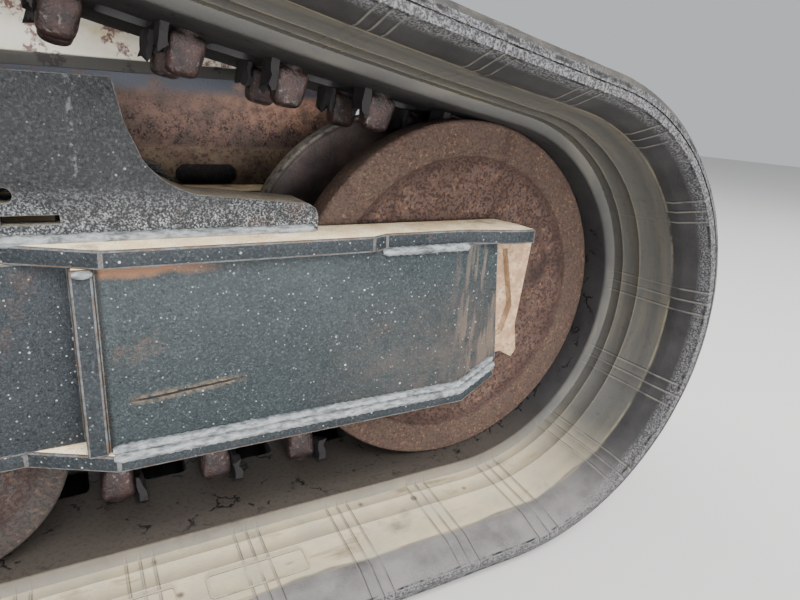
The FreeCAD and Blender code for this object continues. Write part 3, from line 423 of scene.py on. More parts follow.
def add(source, kind, options=None, **inputs):
    """One more step in the finish that source is or belongs to; inputs _0 and _1 go by number."""
    tree = source.node.id_data if isinstance(source, bpy.types.NodeSocket) else source.node_tree
    made = tree.nodes.new("ShaderNode" + kind)
    for option, value in (options or {}).items():
        setattr(made, option, value)
    for name, value in inputs.items():
        socket = made.inputs[int(name[1:]) if name[0] == "_" else name.replace("_", " ")]
        if isinstance(value, bpy.types.NodeSocket):
            tree.links.new(value, socket)
        else:
            socket.default_value = value
    return made.outputs[0]


def reading(finish, name):
    """Where a finish reads its place from: Object, Normal or UV."""
    return add(finish, "TexCoord").node.outputs[name]


def share_of(vector, axis):
    return add(vector, "SeparateXYZ", Vector=vector).node.outputs[axis]


def stretched(vector, scale):
    return add(vector, "Mapping", {"vector_type": "POINT"}, Vector=vector, Scale=scale)


def noise(vector, scale, detail):
    return add(vector, "TexNoise", Vector=vector, Scale=scale, Detail=detail)


def ramp(value, low, high):
    """0 below low and 1 above high; the other way round where low is the greater."""
    return add(value, "MapRange", Value=value, From_Min=low, From_Max=high)


def patches(finish, size, low, high, detail=5.0, vector=None):
    """Irregular patches of a size in metres, 0 to 1, harder edged where low and high are close."""
    grain = add(finish, "TexNoise", Vector=vector or reading(finish, "Object"), Scale=1 / size,
                Detail=detail, Roughness=0.6)
    return ramp(grain, low, high)


def flecks(finish, spacing, radius):
    """Small round spots, 1 inside a spot and 0 outside."""
    spot = add(finish, "TexVoronoi", Vector=reading(finish, "Object"), Scale=1 / spacing)
    return ramp(spot, radius, radius * 0.6)


def reckon(operation, value, *others):
    """Arithmetic on values, such as SUBTRACT, ABSOLUTE or MULTIPLY_ADD."""
    inputs = {"_%d" % index: number for index, number in enumerate((value,) + others)}
    return add(value, "Math", {"operation": operation}, **inputs)


def off_by(value, mark):
    """How far a value is from a mark, on either side."""
    return reckon("ABSOLUTE", reckon("SUBTRACT", value, mark))


def both(share, *others):
    """Shares multiplied, so that it is 1 only where each is; a bare number thins the result."""
    for other in others:
        share = reckon("MULTIPLY", share, other)
    return share


def over(share, below, above):
    """Colour above laid over colour below where share is 1."""
    return add(share, "MixRGB", Fac=share, Color1=below, Color2=above)


def coat(colour, shade, *shares):
    """One tone laid over the colour so far, where every share is 1."""
    return over(both(*shares), colour, tone(*shade))


def close_finish(finish, colour, roughness, relief, depth=0.3 * mm):
    """Joins the colour, and relief as deep as a depth in metres, to the shader."""
    shader = finish.node_tree.nodes["Principled BSDF"]
    finish.node_tree.links.new(colour, shader.inputs["Base Color"])
    shader.inputs["Roughness"].default_value = roughness
    bump = add(finish, "Bump", Height=relief, Distance=depth, Strength=0.8)
    finish.node_tree.links.new(bump, shader.inputs["Normal"])
    return finish


# Across the belt: where rail turns to skirt, and where the dusty skirt turns to the bare edge
RAIL_SIDE, SKIRT_SIDE = 0.117, 0.124
DUSTY_SIDE, BARE_SIDE = 0.197, 0.2
DUST_TOP, DUST_FULL = 0.1, 0.042


def worn_rubber():
    """Black rubber weathered olive grey, dusty where it lies low and cracked beside the lugs."""
    finish = new_finish("worn_rubber", specular=0.3)
    flat, place = reading(finish, "UV"), reading(finish, "Object")
    across = reckon("ABSOLUTE", share_of(flat, "Y"))
    along = reckon("MODULO", share_of(flat, "X"), LINK_PITCH)
    height = share_of(place, "Z")
    upward = ramp(share_of(reading(finish, "Normal"), "Z"), 0.25, 0.95)
    low_down = both(upward, ramp(height, DUST_TOP, DUST_FULL))
    edge_line = reckon("MULTIPLY_ADD", noise(flat, 14.0, 2.0), 0.016, across)
    skirt = both(ramp(across, RAIL_SIDE, SKIRT_SIDE), ramp(edge_line, BARE_SIDE, DUSTY_SIDE))
    tread = ramp(across, 0.5 * TREAD_SHIFT, 0.9 * TREAD_SHIFT)
    belt = ramp(across, 0.9 * TREAD_SHIFT, 0.5 * TREAD_SHIFT)
    rail = both(low_down, ramp(across, SKIRT_SIDE, RAIL_SIDE))
    grain = patches(finish, 0.0016, 0.42, 0.62, 3.0)
    streak = noise(stretched(flat, (12.0, 90.0, 1.0)), 1.0, 4.0)

    colour = over(patches(finish, 0.05, 0.35, 0.65), tone(38, 37, 38), tone(52, 51, 51))
    colour = coat(colour, (78, 77, 74), skirt)
    colour = coat(colour, (86, 83, 76), skirt, ramp(streak, 0.5, 0.62))
    colour = coat(colour, (62, 62, 61), skirt, patches(finish, 0.006, 0.58, 0.8))
    scuffed = both(tread, patches(finish, 0.012, 0.45, 0.65), patches(finish, 0.0022, 0.4, 0.6))
    colour = coat(colour, (74, 72, 70), scuffed)
    colour = coat(colour, (96, 96, 98), ramp(across, 0.213, 0.218), belt, grain)
    colour = coat(colour, (64, 58, 52), rail)
    colour = coat(colour, (48, 44, 40), rail, patches(finish, 0.004, 0.5, 0.66))

    tan = over(patches(finish, 0.03, 0.35, 0.65), tone(160, 151, 132), tone(178, 164, 136))
    colour = over(both(low_down, skirt, patches(finish, 0.05, 0.2, 0.42)), colour, tan)
    smudge = both(skirt, ramp(streak, 0.46, 0.36), patches(finish, 0.03, 0.5, 0.6))
    colour = coat(colour, (134, 122, 102), smudge, low_down)
    colour = coat(colour, (96, 86, 74), flecks(finish, 0.044, 0.1), skirt, low_down)
    edge_dust = both(low_down, ramp(edge_line, DUSTY_SIDE, BARE_SIDE), patches(finish, 0.04, 0.1, 0.6))
    colour = coat(colour, (112, 109, 107), edge_dust)
    grime = both(upward, ramp(height, 0.3, 0.45), patches(finish, 0.04, 0.35, 0.65))
    colour = coat(colour, (80, 75, 67), grime, tread)

    # Moulded lines: three ridges across each link, lit and shaded, and three lines lengthwise
    shown = reckon("MAXIMUM", ramp(height, 0.34, 0.22), ramp(across, 0.188, 0.194))
    shown = both(shown, ramp(across, 0.12, 0.126), belt, patches(finish, 0.03, 0.3, 0.5))
    for ridge in CROSS_RIDGES:
        gap = reckon("SUBTRACT", along, ridge * mm)
        colour = coat(colour, (106, 103, 98), ramp(reckon("ABSOLUTE", gap), 0.0011, 0.0004), shown, 0.6)
        shade = both(ramp(gap, 0.0009, 0.0013), ramp(gap, 0.0024, 0.0018))
        colour = coat(colour, (34, 33, 32), shade, shown, 0.7)
    for row, strength in ((0.134, 0.25), (0.154, 0.25), (0.1905, 0.7)):
        line = both(ramp(off_by(across, row), 0.0016, 0.0005), patches(finish, 0.03, 0.38, 0.55))
        colour = coat(colour, (122, 112, 92), line, strength)

    # Cracks are the borders of cells whose place is jogged by a noise
    jag = noise(place, 160.0, 3.0).node.outputs["Color"]
    jog = (0.012, 0.012, 0.012)
    bent = add(finish, "VectorMath", {"operation": "MULTIPLY_ADD"}, _0=jag, _1=jog, _2=place)
    cell = add(finish, "TexVoronoi", {"feature": "DISTANCE_TO_EDGE"}, Vector=bent, Scale=48.0)
    crack = both(ramp(cell, 0.06, 0.03), patches(finish, 0.02, 0.53, 0.58), ramp(across, 0.118, 0.104))
    colour = coat(colour, (14, 13, 13), crack)
    sheath = both(ramp(across, 0.062, 0.058), ramp(along, 0.011, 0.013), ramp(along, 0.024, 0.022))
    colour = coat(colour, (36, 34, 34), sheath, 0.85)
    seam = ramp(off_by(across, 0.2235), 0.0012, 0.0004)
    colour = coat(colour, (28, 27, 27), seam, patches(finish, 0.012, 0.45, 0.6))
    relief = reckon("MULTIPLY_ADD", crack, -4.0, grain)
    return close_finish(finish, colour, 0.8, relief, 0.12 * mm)


rubber = worn_rubber()
fit(link, rubber, "root", "track_rubber", "track_belt")

# Two plain raised frames are moulded on the skirt, as the mould's empty name plates
PLATE_STARTS = (398 * mm, 502 * mm)
PLATE_LENGTH, PLATE_WIDTH, PLATE_ROW = 82 * mm, 24 * mm, 171 * mm
PLATE_LINE, PLATE_HEIGHT, PLATE_SINK = 1.4 * mm, 2.2 * mm, 1.4 * mm
SKIRT_ROW, SKIRT_DEPTH, SKIRT_SLOPE = 155 * mm, 12.4 * mm, 0.105
skirt_floor = front_axle.z - IDLER_LINE + RAIL_FACE
for number, start in enumerate(PLATE_STARTS):
    bpy.ops.object.select_all(action="DESELECT")
    bpy.ops.mesh.primitive_plane_add(size=1, location=(start + PLATE_LENGTH / 2, -PLATE_ROW, 0))
    moulding = bpy.context.object
    moulding.name = "moulded_frame_%d" % (number + 1)
    moulding.scale = (PLATE_LENGTH, PLATE_WIDTH, 1)
    bpy.ops.object.transform_apply()
    bpy.ops.object.mode_set(mode="EDIT")
    bpy.ops.mesh.bevel(offset=4 * mm, segments=3, affect="VERTICES")
    bpy.ops.mesh.select_all(action="SELECT")
    bpy.ops.mesh.inset(thickness=PLATE_LINE)
    bpy.ops.mesh.delete(type="FACE")
    bpy.ops.mesh.select_all(action="SELECT")
    draw_out(z=PLATE_HEIGHT)
    bpy.ops.mesh.select_all(action="SELECT")
    bpy.ops.mesh.normals_make_consistent(inside=False)
    bpy.ops.object.mode_set(mode="OBJECT")
    for corner in moulding.data.vertices:
        fall = SKIRT_DEPTH + (abs(corner.co.y) - SKIRT_ROW) * SKIRT_SLOPE
        corner.co.z += skirt_floor - fall - PLATE_SINK
    frame_map = own_map(moulding, "along_across")
    for loop in moulding.data.loops:
        frame_map.data[loop.index].uv = (0.03, moulding.data.vertices[loop.vertex_index].co.y)
    fit(moulding, rubber, "root", "track_rubber", "track_belt")


# Guide lugs: the horns of the forged steel cores, in pairs inside the belt. The rubber that
# covered them has worn and torn away, so they stand bare and rusty red-brown, grey towards the tips as rubbed
# steel with a painted highlight.
LUG_HALF, LUG_HALF_LENGTH, LUG_HEIGHT, LUG_MIDDLE = 13 * mm, 15 * mm, 34 * mm, 40 * mm
LUG_ROUND = 7 * mm
lugs = start_block("guide_lugs", (-LUG_HALF_LENGTH, LUG_MIDDLE - LUG_HALF, 0),
                   (LUG_HALF_LENGTH, LUG_MIDDLE + LUG_HALF, RAIL_FACE + LUG_HEIGHT))
slice_at(Z_AXIS, [3 * mm, 10 * mm])
pick("VERT", lambda place: place.z < 5 * mm)
bpy.ops.transform.resize(value=(0.78, 0.86, 1), center_override=(0, LUG_MIDDLE, 0))
pick("VERT", lambda place: place.z > 20 * mm)
bpy.ops.transform.resize(value=(0.86, 0.8, 1), center_override=(0, LUG_MIDDLE, RAIL_FACE + LUG_HEIGHT))
pick("EDGE", lambda place, along: place.z > 10 * mm)
bpy.ops.mesh.bevel(offset=LUG_ROUND, segments=3, profile=0.5)
pick("FACE", lambda place, normal: normal.z < -0.9 and place.z < 1 * mm)
bpy.ops.mesh.delete(type="FACE")
bpy.ops.mesh.select_all(action="SELECT")
bpy.ops.mesh.duplicate()
shift(y=-2 * LUG_MIDDLE)
bpy.ops.object.mode_set(mode="OBJECT")
repeat_links(lugs)
apply_modifier(lugs, "SUBSURF", levels=1, render_levels=1)
pitted = cloudy("pitted", 0.008)
roughen(lugs, pitted, 1.3 * mm)
lug_map = own_map(lugs, "along_height")
for loop in lugs.data.loops:
    place = lugs.data.vertices[loop.vertex_index].co
    lug_map.data[loop.index].uv = (place.x, place.z)
apply_modifier(lugs, "CURVE", object=belt_line, deform_axis="POS_X")
smooth_faces(lugs, 60)
bpy.data.objects.remove(belt_line)


def lug_steel_rubbed_and_highlit():
    finish = new_finish("lug_steel_rubbed_and_highlit", metallic=0.25)
    height = share_of(reading(finish, "UV"), "Y")
    colour = over(patches(finish, 0.012, 0.4, 0.62), tone(60, 44, 41), tone(40, 33, 33))
    # Grey patches towards the tips: rubbed steel, with a painted highlight.
    colour = coat(colour, (112, 104, 102), ramp(height, 0.008, 0.024), patches(finish, 0.004, 0.56, 0.74))
    colour = coat(colour, (30, 27, 27), ramp(height, 0.012, 0.004), patches(finish, 0.01, 0.35, 0.6))
    return close_finish(finish, colour, 0.48, patches(finish, 0.002, 0.35, 0.65), 0.5 * mm)


fit(lugs, lug_steel_rubbed_and_highlit(), "root", "track_rubber", "track_belt")


# Idlers: a casting of two discs on a drum, one at each end, turning on a dead axle. The outboard
# disc is rusted all over with a machined rim; the inboard one is oily black with rims rubbed bright.
def close_ends():
    """In edit mode, fills the open ends, turns all faces outward and leaves edit mode."""
    bpy.ops.mesh.select_all(action="DESELECT")
    bpy.ops.mesh.select_mode(type="EDGE")
    bpy.ops.mesh.select_non_manifold()
    bpy.ops.mesh.edge_face_add()
    bpy.ops.mesh.select_all(action="SELECT")
    bpy.ops.mesh.normals_make_consistent(inside=False)
    bpy.ops.object.mode_set(mode="OBJECT")


def turn_piece(name, centre, profile, sides=96):
    """Solid turned about a cross axis; the profile is (y, radius) pairs in millimetres from end to end."""
    bpy.ops.object.select_all(action="DESELECT")
    stations = [(y * mm, radius * mm) for y, radius in profile]
    y, radius = stations[0]
    bpy.ops.mesh.primitive_circle_add(vertices=sides, radius=radius, fill_type="NGON",
                                      rotation=(math.pi / 2, 0, 0), location=(centre.x, y, centre.z))
    piece = bpy.context.object
    piece.name = name
    bpy.ops.object.transform_apply()
    bpy.ops.object.mode_set(mode="EDIT")
    for next_y, next_radius in stations[1:]:
        bpy.ops.mesh.select_mode(type="FACE")
        draw_out(y=next_y - y)
        size = next_radius / radius
        bpy.ops.transform.resize(value=(size, 1, size), center_override=(centre.x, next_y, centre.z))
        radius, y = next_radius, next_y
    close_ends()
    return piece


def about_axle(finish, centre):
    """The place flattened along an axle, and its distance from it."""
    place = add(finish, "Mapping", {"vector_type": "POINT"}, Vector=reading(finish, "Object"),
                Location=(-centre.x, 0, -centre.z))
    flat = add(finish, "VectorMath", {"operation": "MULTIPLY"}, _0=place, _1=(1, 0, 1))
    return flat, add(finish, "VectorMath", {"operation": "LENGTH"}, _0=flat).node.outputs["Value"]


def rusty_casting(name, centre, rust=(64, 49, 43), step=0.140, bright=0.8):
    """Pitted brown rust, finely mottled, with a smoother lighter rim outside the step."""
    finish = new_finish(name, specular=0.25)
    flat, radius = about_axle(finish, centre)
    light = tuple(value + 14 for value in rust)
    flakes = patches(finish, 0.0026, 0.5, 0.6, 6.0)
    colour = over(patches(finish, 0.03, 0.35, 0.65), tone(*rust), tone(*light))
    colour = coat(colour, (48, 36, 33), flakes, ramp(radius, step + 0.004, step - 0.004))
    pale = both(patches(finish, 0.005, 0.56, 0.7), patches(finish, 0.03, 0.4, 0.6))
    colour = coat(colour, (122, 88, 66), pale, bright)
    rings = add(finish, "CombineXYZ", X=reckon("MULTIPLY", radius, 160.0), Y=0.0, Z=0.0)
    colour = coat(colour, (60, 44, 39), ramp(noise(rings, 1.0, 3.0), 0.5, 0.62), 0.4)
    rim = ramp(radius, step - 0.002, step + 0.002)
    rim_tone = (rust[0] + 6, rust[1] + 9, rust[2] + 8)
    colour = coat(colour, rim_tone, rim, patches(finish, 0.012, 0.28, 0.55))
    colour = coat(colour, (52, 39, 35), rim, patches(finish, 0.0022, 0.48, 0.68))
    flaked = both(rim, patches(finish, 0.0035, 0.54, 0.66), patches(finish, 0.02, 0.4, 0.6))
    colour = coat(colour, (116, 88, 70), flaked, bright)
    dark_ring = both(ramp(radius, step - 0.012, step - 0.006), ramp(radius, step + 0.001, step - 0.002))
    colour = coat(colour, (44, 32, 29), dark_ring, 0.5)
    colour = coat(colour, (38, 30, 29), ramp(noise(flat, 16.0, 3.0), 0.6, 0.7), 0.7)
    return close_finish(finish, colour, 0.8, flakes, 0.6 * mm)


def oily_casting(name, centre):
    """Black-brown oily iron, with rims rubbed bright by the lugs."""
    finish = new_finish(name, metallic=0.3)
    radius = about_axle(finish, centre)[1]
    colour = over(patches(finish, 0.02, 0.4, 0.65), tone(58, 50, 48), tone(80, 66, 62))
    rubbed = both(ramp(radius, 0.1695, 0.1715), patches(finish, 0.008, 0.35, 0.55))
    colour = coat(colour, (138, 134, 126), rubbed)
    return close_finish(finish, colour, 0.42, patches(finish, 0.002, 0.3, 0.7))


RIM = 173
RIM_ROUND = 1.2 * mm
OUTER_DISC = [
    (-88, 34), (-88, 62), (-86.5, 68), (-87, 120), (-88, 139), (-91, 141), (-91, 170.5), (-88.5, RIM),
    (-63.5, RIM), (-61, 170.5), (-61, 104),
]
INNER_DISC = [
    (-62, 105), (54, 105), (61, 114), (61, 168), (65, RIM), (84, RIM), (88, 169), (88, 141), (86, 136),
    (86, 70), (88, 60), (88, 34),
]
for end, axle in (("front", front_axle), ("rear", rear_axle)):
    disc = turn_piece(end + "_idler_outer_disc", axle, OUTER_DISC)
    ease_edges(disc, RIM_ROUND)
    smooth_faces(disc)
    fit(disc, rusty_casting(end + "_rust", axle), end + "_idler", "rusty_steel", end + "_idler_wheel")
    drum = turn_piece(end + "_idler_inner_disc", axle, INNER_DISC)
    ease_edges(drum, RIM_ROUND)
    smooth_faces(drum)
    fit(drum, oily_casting(end + "_oily_iron", axle), end + "_idler", "rusty_steel", end + "_idler_wheel")


# Beams, yoke and cross pieces: flame-cut plates welded up and painted charcoal. The paint is chalky
# and full of pale specks, edges are rubbed, seams bleed rust, and tan dirt lies on what faces up.
def paint_layers(finish, base, specks):
    """Chalky charcoal paint: cloudy and grainy, with pale specks and a little rust showing through."""
    lighter, grainy, darker = (tuple(value + change for value in base) for change in (8, 26, -14))
    colour = over(patches(finish, 0.06, 0.35, 0.65), tone(*base), tone(*lighter))
    colour = coat(colour, grainy, patches(finish, 0.0018, 0.5, 0.66, 3.0), 0.8)
    colour = coat(colour, darker, patches(finish, 0.0024, 0.46, 0.34, 3.0), 0.7)
    fine = both(flecks(finish, 0.0052, 0.15), patches(finish, 0.012, 0.40, 0.56))
    coarse = both(flecks(finish, 0.013, 0.085), patches(finish, 0.03, 0.4, 0.6))
    colour = coat(colour, (150, 154, 154), fine, specks)
    colour = coat(colour, (188, 190, 188), coarse, specks)
    return coat(colour, (92, 68, 56), patches(finish, 0.07, 0.6, 0.74), patches(finish, 0.004, 0.4, 0.6), 0.6)


def lay_dirt(finish, colour, dust):
    """Pale tan dirt on what faces up, over the colour below."""
    upward = ramp(share_of(reading(finish, "Normal"), "Z"), 0.5, 0.9)
    dirt = over(patches(finish, 0.02, 0.4, 0.6), tone(228, 202, 160), tone(250, 232, 196))
    dirt = coat(dirt, (158, 140, 112), patches(finish, 0.0016, 0.56, 0.66, 3.0))
    return over(both(upward, patches(finish, 0.03, 0.2, 0.45), dust), colour, dirt)


def speckled_paint():
    finish = new_finish("speckled_paint", specular=0.22)
    colour = lay_dirt(finish, paint_layers(finish, (32, 36, 39), 0.8), 0.95)
    return close_finish(finish, colour, 0.62, patches(finish, 0.0014, 0.35, 0.65, 2.0))


BEAM_MIDDLE = (front_axle.x + rear_axle.x) / 2
GOUGE_BACK, GOUGE_FRONT = 0.4567, 0.5461
GOUGE_HEIGHT, GOUGE_RISE = 0.1929, 0.0057


def cover_paint():
    """The covers' paint: browner to the ends, rust bled from the seam, a painted shadow over their inner
    ends, and a gouge in the front one.
    """
    finish = new_finish("cover_paint", specular=0.25)
    place = reading(finish, "Object")
    height, lengthwise = share_of(place, "Z"), share_of(place, "X")
    forward = reckon("ADD", off_by(lengthwise, BEAM_MIDDLE), BEAM_MIDDLE)
    specks = add(finish, "MapRange", Value=forward, From_Min=0.46, From_Max=0.76, To_Min=0.55, To_Max=1.0)
    colour = paint_layers(finish, (35, 41, 43), specks)
    brown = both(ramp(forward, 0.58, 0.75), ramp(height, 0.275, 0.2), patches(finish, 0.02, 0.3, 0.6))
    colour = coat(colour, (84, 74, 68), brown, 0.5)
    waver = noise(place, 45.0, 3.0)
    seam = reckon("MULTIPLY_ADD", waver, 0.012, height)
    colour = coat(colour, (112, 80, 58), ramp(seam, 0.292, 0.296), ramp(forward, 0.53, 0.49), 0.9)
    drips = noise(stretched(place, (1.0, 1.0, 0.12)), 180.0, 3.0)
    colour = coat(colour, (96, 84, 74), ramp(drips, 0.5, 0.62), ramp(forward, 0.725, 0.75), 0.6)
    # Painted shadow: near-black over the covers' inner ends, where forward is below about 0.447 m.
    colour = coat(colour, (20, 22, 22), ramp(forward, 0.449, 0.4465), 0.9)
    run = ramp(lengthwise, GOUGE_BACK, GOUGE_FRONT)
    track = reckon("MULTIPLY_ADD", run, GOUGE_RISE, GOUGE_HEIGHT)
    distance = off_by(height, reckon("MULTIPLY_ADD", waver, 0.003, track))
    ends = both(ramp(run, 0.0, 0.12), ramp(run, 1.0, 0.8))
    graze = both(ramp(distance, 0.005, 0.001), ends, patches(finish, 0.004, 0.35, 0.6))
    colour = coat(colour, (110, 95, 78), graze, 0.7)
    cut = both(ramp(distance, 0.0012, 0.0006), ends)
    colour = coat(colour, (24, 22, 22), cut)
    relief = reckon("SUBTRACT", patches(finish, 0.0014, 0.35, 0.65, 2.0), cut)
    return close_finish(finish, colour, 0.56, relief)


SCUFF_LINE = 0.4405


def bracket_paint():
    """The brackets' paint: plain and dark above, battered to a silvery grain along the foot."""
    finish = new_finish("bracket_paint", specular=0.2)
    place = reading(finish, "Object")
    forward, height = share_of(place, "X"), share_of(place, "Z")
    colour = paint_layers(finish, (32, 33, 34), 0.35)
    grainy = both(patches(finish, 0.0014, 0.48, 0.64), patches(finish, 0.014, 0.25, 0.6))
    colour = coat(colour, (146, 148, 150), ramp(height, 0.345, 0.318), grainy, 0.9)
    colour = coat(colour, (38, 39, 41), ramp(height, 0.34, 0.32), patches(finish, 0.003, 0.44, 0.34, 4.0))
    scuff = both(ramp(off_by(forward, SCUFF_LINE), 0.0022, 0.0006), patches(finish, 0.006, 0.5, 0.56))
    colour = coat(colour, (96, 98, 100), scuff, ramp(height, 0.33, 0.335), 0.55)
    front = ramp(share_of(reading(finish, "Normal"), "X"), 0.3, 0.7)
    colour = coat(colour, (76, 60, 50), front, patches(finish, 0.02, 0.25, 0.5))
    colour = lay_dirt(finish, colour, 0.12)
    return close_finish(finish, colour, 0.6, patches(finish, 0.002, 0.35, 0.65, 3.0), 0.45 * mm)


def rubbed_edge(name="rubbed_edge", steel=(84, 86, 87), rust=(76, 62, 51), chips=(58, 60, 62)):
    """Steel in two tones, mottled, with smaller chips."""
    finish = new_finish(name, specular=0.4)
    colour = over(patches(finish, 0.012, 0.42, 0.6), tone(*steel), tone(*rust))
    colour = coat(colour, chips, patches(finish, 0.004, 0.52, 0.62))
    return close_finish(finish, colour, 0.6, patches(finish, 0.0015, 0.35, 0.65))


def ground_edges(node, name, width, finishes):
    """Copy of a frame piece with its edges rounded as ground or flame-cut steel; it stands for it."""
    piece = nodes[node].copy()
    piece.data = nodes[node].data.copy()
    piece.name = name
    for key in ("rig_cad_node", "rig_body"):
        del piece[key]
    piece.parent = None
    bpy.context.scene.collection.objects.link(piece)
    take(piece)
    bpy.ops.mesh.customdata_custom_splitnormals_clear()
    bpy.ops.object.mode_set(mode="EDIT")
    bpy.ops.mesh.select_all(action="SELECT")
    bpy.ops.mesh.remove_doubles(threshold=0.02 * mm)
    bpy.ops.mesh.dissolve_limited(angle_limit=math.radians(1))
    bpy.ops.object.mode_set(mode="OBJECT")
    piece.data.materials.clear()
    for finish in finishes:
        piece.data.materials.append(finish)
    for face in piece.data.polygons:
        face.material_index = 0
    ease_edges(piece, width, 28, material=len(finishes) - 1)
    smooth_faces(piece)
    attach(piece, "root")
    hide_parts(node)


paint = speckled_paint()
edge = rubbed_edge()
BEAM_PLATES = [
    ("top_flange", 1.6), ("bottom_flange", 1.6), ("web", 1.0), ("end_covers", 1.2), ("stiffeners", 1.8),
]
plates = [(beam + "_beam_" + plate, width) for beam in ("outer", "inner") for plate, width in BEAM_PLATES]
plates += [
    ("front_cross_member", 2.0), ("middle_bulkhead", 2.0), ("rear_cross_member", 2.0),
    ("outer_bracket_plates", 1.5), ("inner_bracket_plates", 1.5),
    ("front_mount_arm", 2.5), ("rear_mount_arm", 2.5),
]
own_paint = {"outer_beam_end_covers": cover_paint(), "outer_bracket_plates": bracket_paint()}
own_paint["inner_bracket_plates"] = own_paint["outer_bracket_plates"]
for node, width in plates:
    ground_edges(node, node + "_plate", width * mm, (own_paint.get(node, paint), edge))


def scuffed_weld():
    """Weld metal painted over and scuffed whitish on its ripples."""
    finish = new_finish("scuffed_weld")
    drawn = stretched(reading(finish, "Object"), (0.3, 1, 1))
    colour = over(patches(finish, 0.003, 0.36, 0.6, 4.0, drawn), tone(68, 72, 74), tone(128, 131, 132))
    colour = coat(colour, (58, 61, 63), patches(finish, 0.02, 0.6, 0.7))
    return close_finish(finish, colour, 0.55, patches(finish, 0.0016, 0.35, 0.65), 0.4 * mm)


weld = scuffed_weld()
RIPPLE = 3.2 * mm
THICK, THIN, TAPERED = 1.0, 0.86, 0.5


def weld_bead(name, stops, radius):
    """Rippled bead of weld along a run of points, laid a ripple at a time, thick and thin in turn."""
    bpy.ops.object.select_all(action="DESELECT")
    size, place, count = radius * TAPERED, stops[0], 0
    bpy.ops.mesh.primitive_circle_add(vertices=10, radius=size, fill_type="NGON",
                                      rotation=(0, math.pi / 2, 0), location=place)
    bead = bpy.context.object
    bead.name = name
    bpy.ops.object.transform_apply()
    bpy.ops.object.mode_set(mode="EDIT")
    for stop in stops[1:]:
        steps = max(1, round((stop - place).length / RIPPLE))
        move = (stop - place) / steps
        for number in range(steps):
            count += 1
            place = place + move
            last = number == steps - 1 and stop == stops[-1]
            wanted = radius * (TAPERED if last else (THICK, THIN)[count % 2])
            draw_out(*move)
            bpy.ops.transform.resize(value=(1, wanted / size, wanted / size), center_override=place)
            size = wanted
    close_ends()
    roughen(bead, pitted, 1.0 * mm)
    smooth_faces(bead, 60)
    fit(bead, weld, "root", "charcoal_paint")


# Name, radius and run of each bead in millimetres
beads = [
    ("cover_foot_bead", 4.6, [(446, -142, 158), (744, -142, 158), (781, -142, 180)]),
    ("cover_lip_bead", 4.0, [(446, -147, 154.5), (742, -147, 154.5), (780, -147, 176.5)]),
    ("flange_bead", 4.0, [(656, -142, 292.5), (742, -142, 292.5)]),
    ("bracket_foot_bead", 4.6, [(262, -118.5, 309), (606, -118.5, 309)]),
    ("stiffener_seam_bead", 3.0, [(432, -146, 291.5), (444, -146, 291.5)]),
]
for name, radius, stops in beads:
    weld_bead(name, [Vector(stop) * mm for stop in stops], radius * mm)

dirty_steel = rubbed_edge("dirty_steel", (166, 140, 110), (136, 106, 82), (126, 106, 86))
for node in ("front_idler_yoke", "rear_idler_carriers"):
    ground_edges(node, node + "_steel", 2.5 * mm, (dirty_steel,))


# Tensioner, axles and shafts: a grease cylinder pushes the yoke forward with a bright rod; the
# idlers and rollers turn on dead axles of plain steel.
bare_steel = rubbed_edge("bare_steel", (104, 102, 99), (76, 66, 58))
for end, axle in (("front", front_axle), ("rear", rear_axle)):
    pin = turn_piece(end + "_axle_pin", axle, [(-117, 27), (-115, 30), (115, 30), (117, 27)], 48)
    smooth_faces(pin)
    fit(pin, bare_steel, "root", "bare_steel", "idler_axles")
for node, finish in (("tensioner_rod", bare_steel), ("tensioner_cylinder", paint)):
    nodes[node].data.materials.clear()
    nodes[node].data.materials.append(finish)


# Track rollers: turned steel wheels with two flanged rims on dead shafts under the beams,
# dark and greasy on the faces and rubbed to orange-brown round the rims.
ROLLER_RADIUS = 100
HALF_ROLLER = [
    (-106, 36), (-106, 50), (-103, 54), (-103, 78), (-106, 82), (-106, 98), (-104, ROLLER_RADIUS),
    (-62, ROLLER_RADIUS), (-60, 98), (-60, 56), (-54, 50),
]
roller_profile = HALF_ROLLER + [(-y, radius) for y, radius in reversed(HALF_ROLLER)]
roller_low, roller_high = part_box("track_rollers")
first_roller = roller_high.x - ROLLER_RADIUS * mm
last_roller = roller_low.x + ROLLER_RADIUS * mm
for number in range(3):
    roller_x = first_roller + (last_roller - first_roller) * number / 2
    axle = Vector((roller_x, 0, roller_low.z + ROLLER_RADIUS * mm))
    roller = turn_piece("track_roller_%d" % (number + 1), axle, roller_profile, 80)
    ease_edges(roller, 1 * mm)
    smooth_faces(roller)
    roller_rust = rusty_casting("roller_rust_%d" % (number + 1), axle, (42, 37, 36), 0.080, 0.3)
    fit(roller, roller_rust, "root", "roller_steel", "track_rollers")
ground_edges("roller_shafts", "roller_shaft_steel", 1.5 * mm, (bare_steel,))


# Drive: a toothed sprocket plate bolted to the gearbox barrel, with a round cover outboard and a
# hydraulic motor behind the side plate; cast, painted charcoal and greasy at the teeth.
greasy_iron = rubbed_edge("greasy_iron", (58, 50, 46), (84, 62, 50))
ground_edges("drive_sprocket", "drive_sprocket_teeth", 1.5 * mm, (greasy_iron,))
cover = turn_piece("sprocket_cover_cap", sprocket_axle, [
    (-22, 112), (-42, 112), (-46, 108), (-46, 60), (-48, 56), (-48, 20),
])
smooth_faces(cover)
fit(cover, paint, "root", "charcoal_paint", "sprocket_cover")
barrel = turn_piece("final_drive_barrel", sprocket_axle, [
    (-22, 79), (22, 79), (22, 124), (26, 128), (214, 128), (222, 136), (222, 158), (224, 160), (244, 160),
])
smooth_faces(barrel)
fit(barrel, paint, "root", "charcoal_paint", "final_drive")
ground_edges("drive_motor", "drive_motor_casting", 2 * mm, (paint, edge))

BOLT_SIZE = 8 * mm


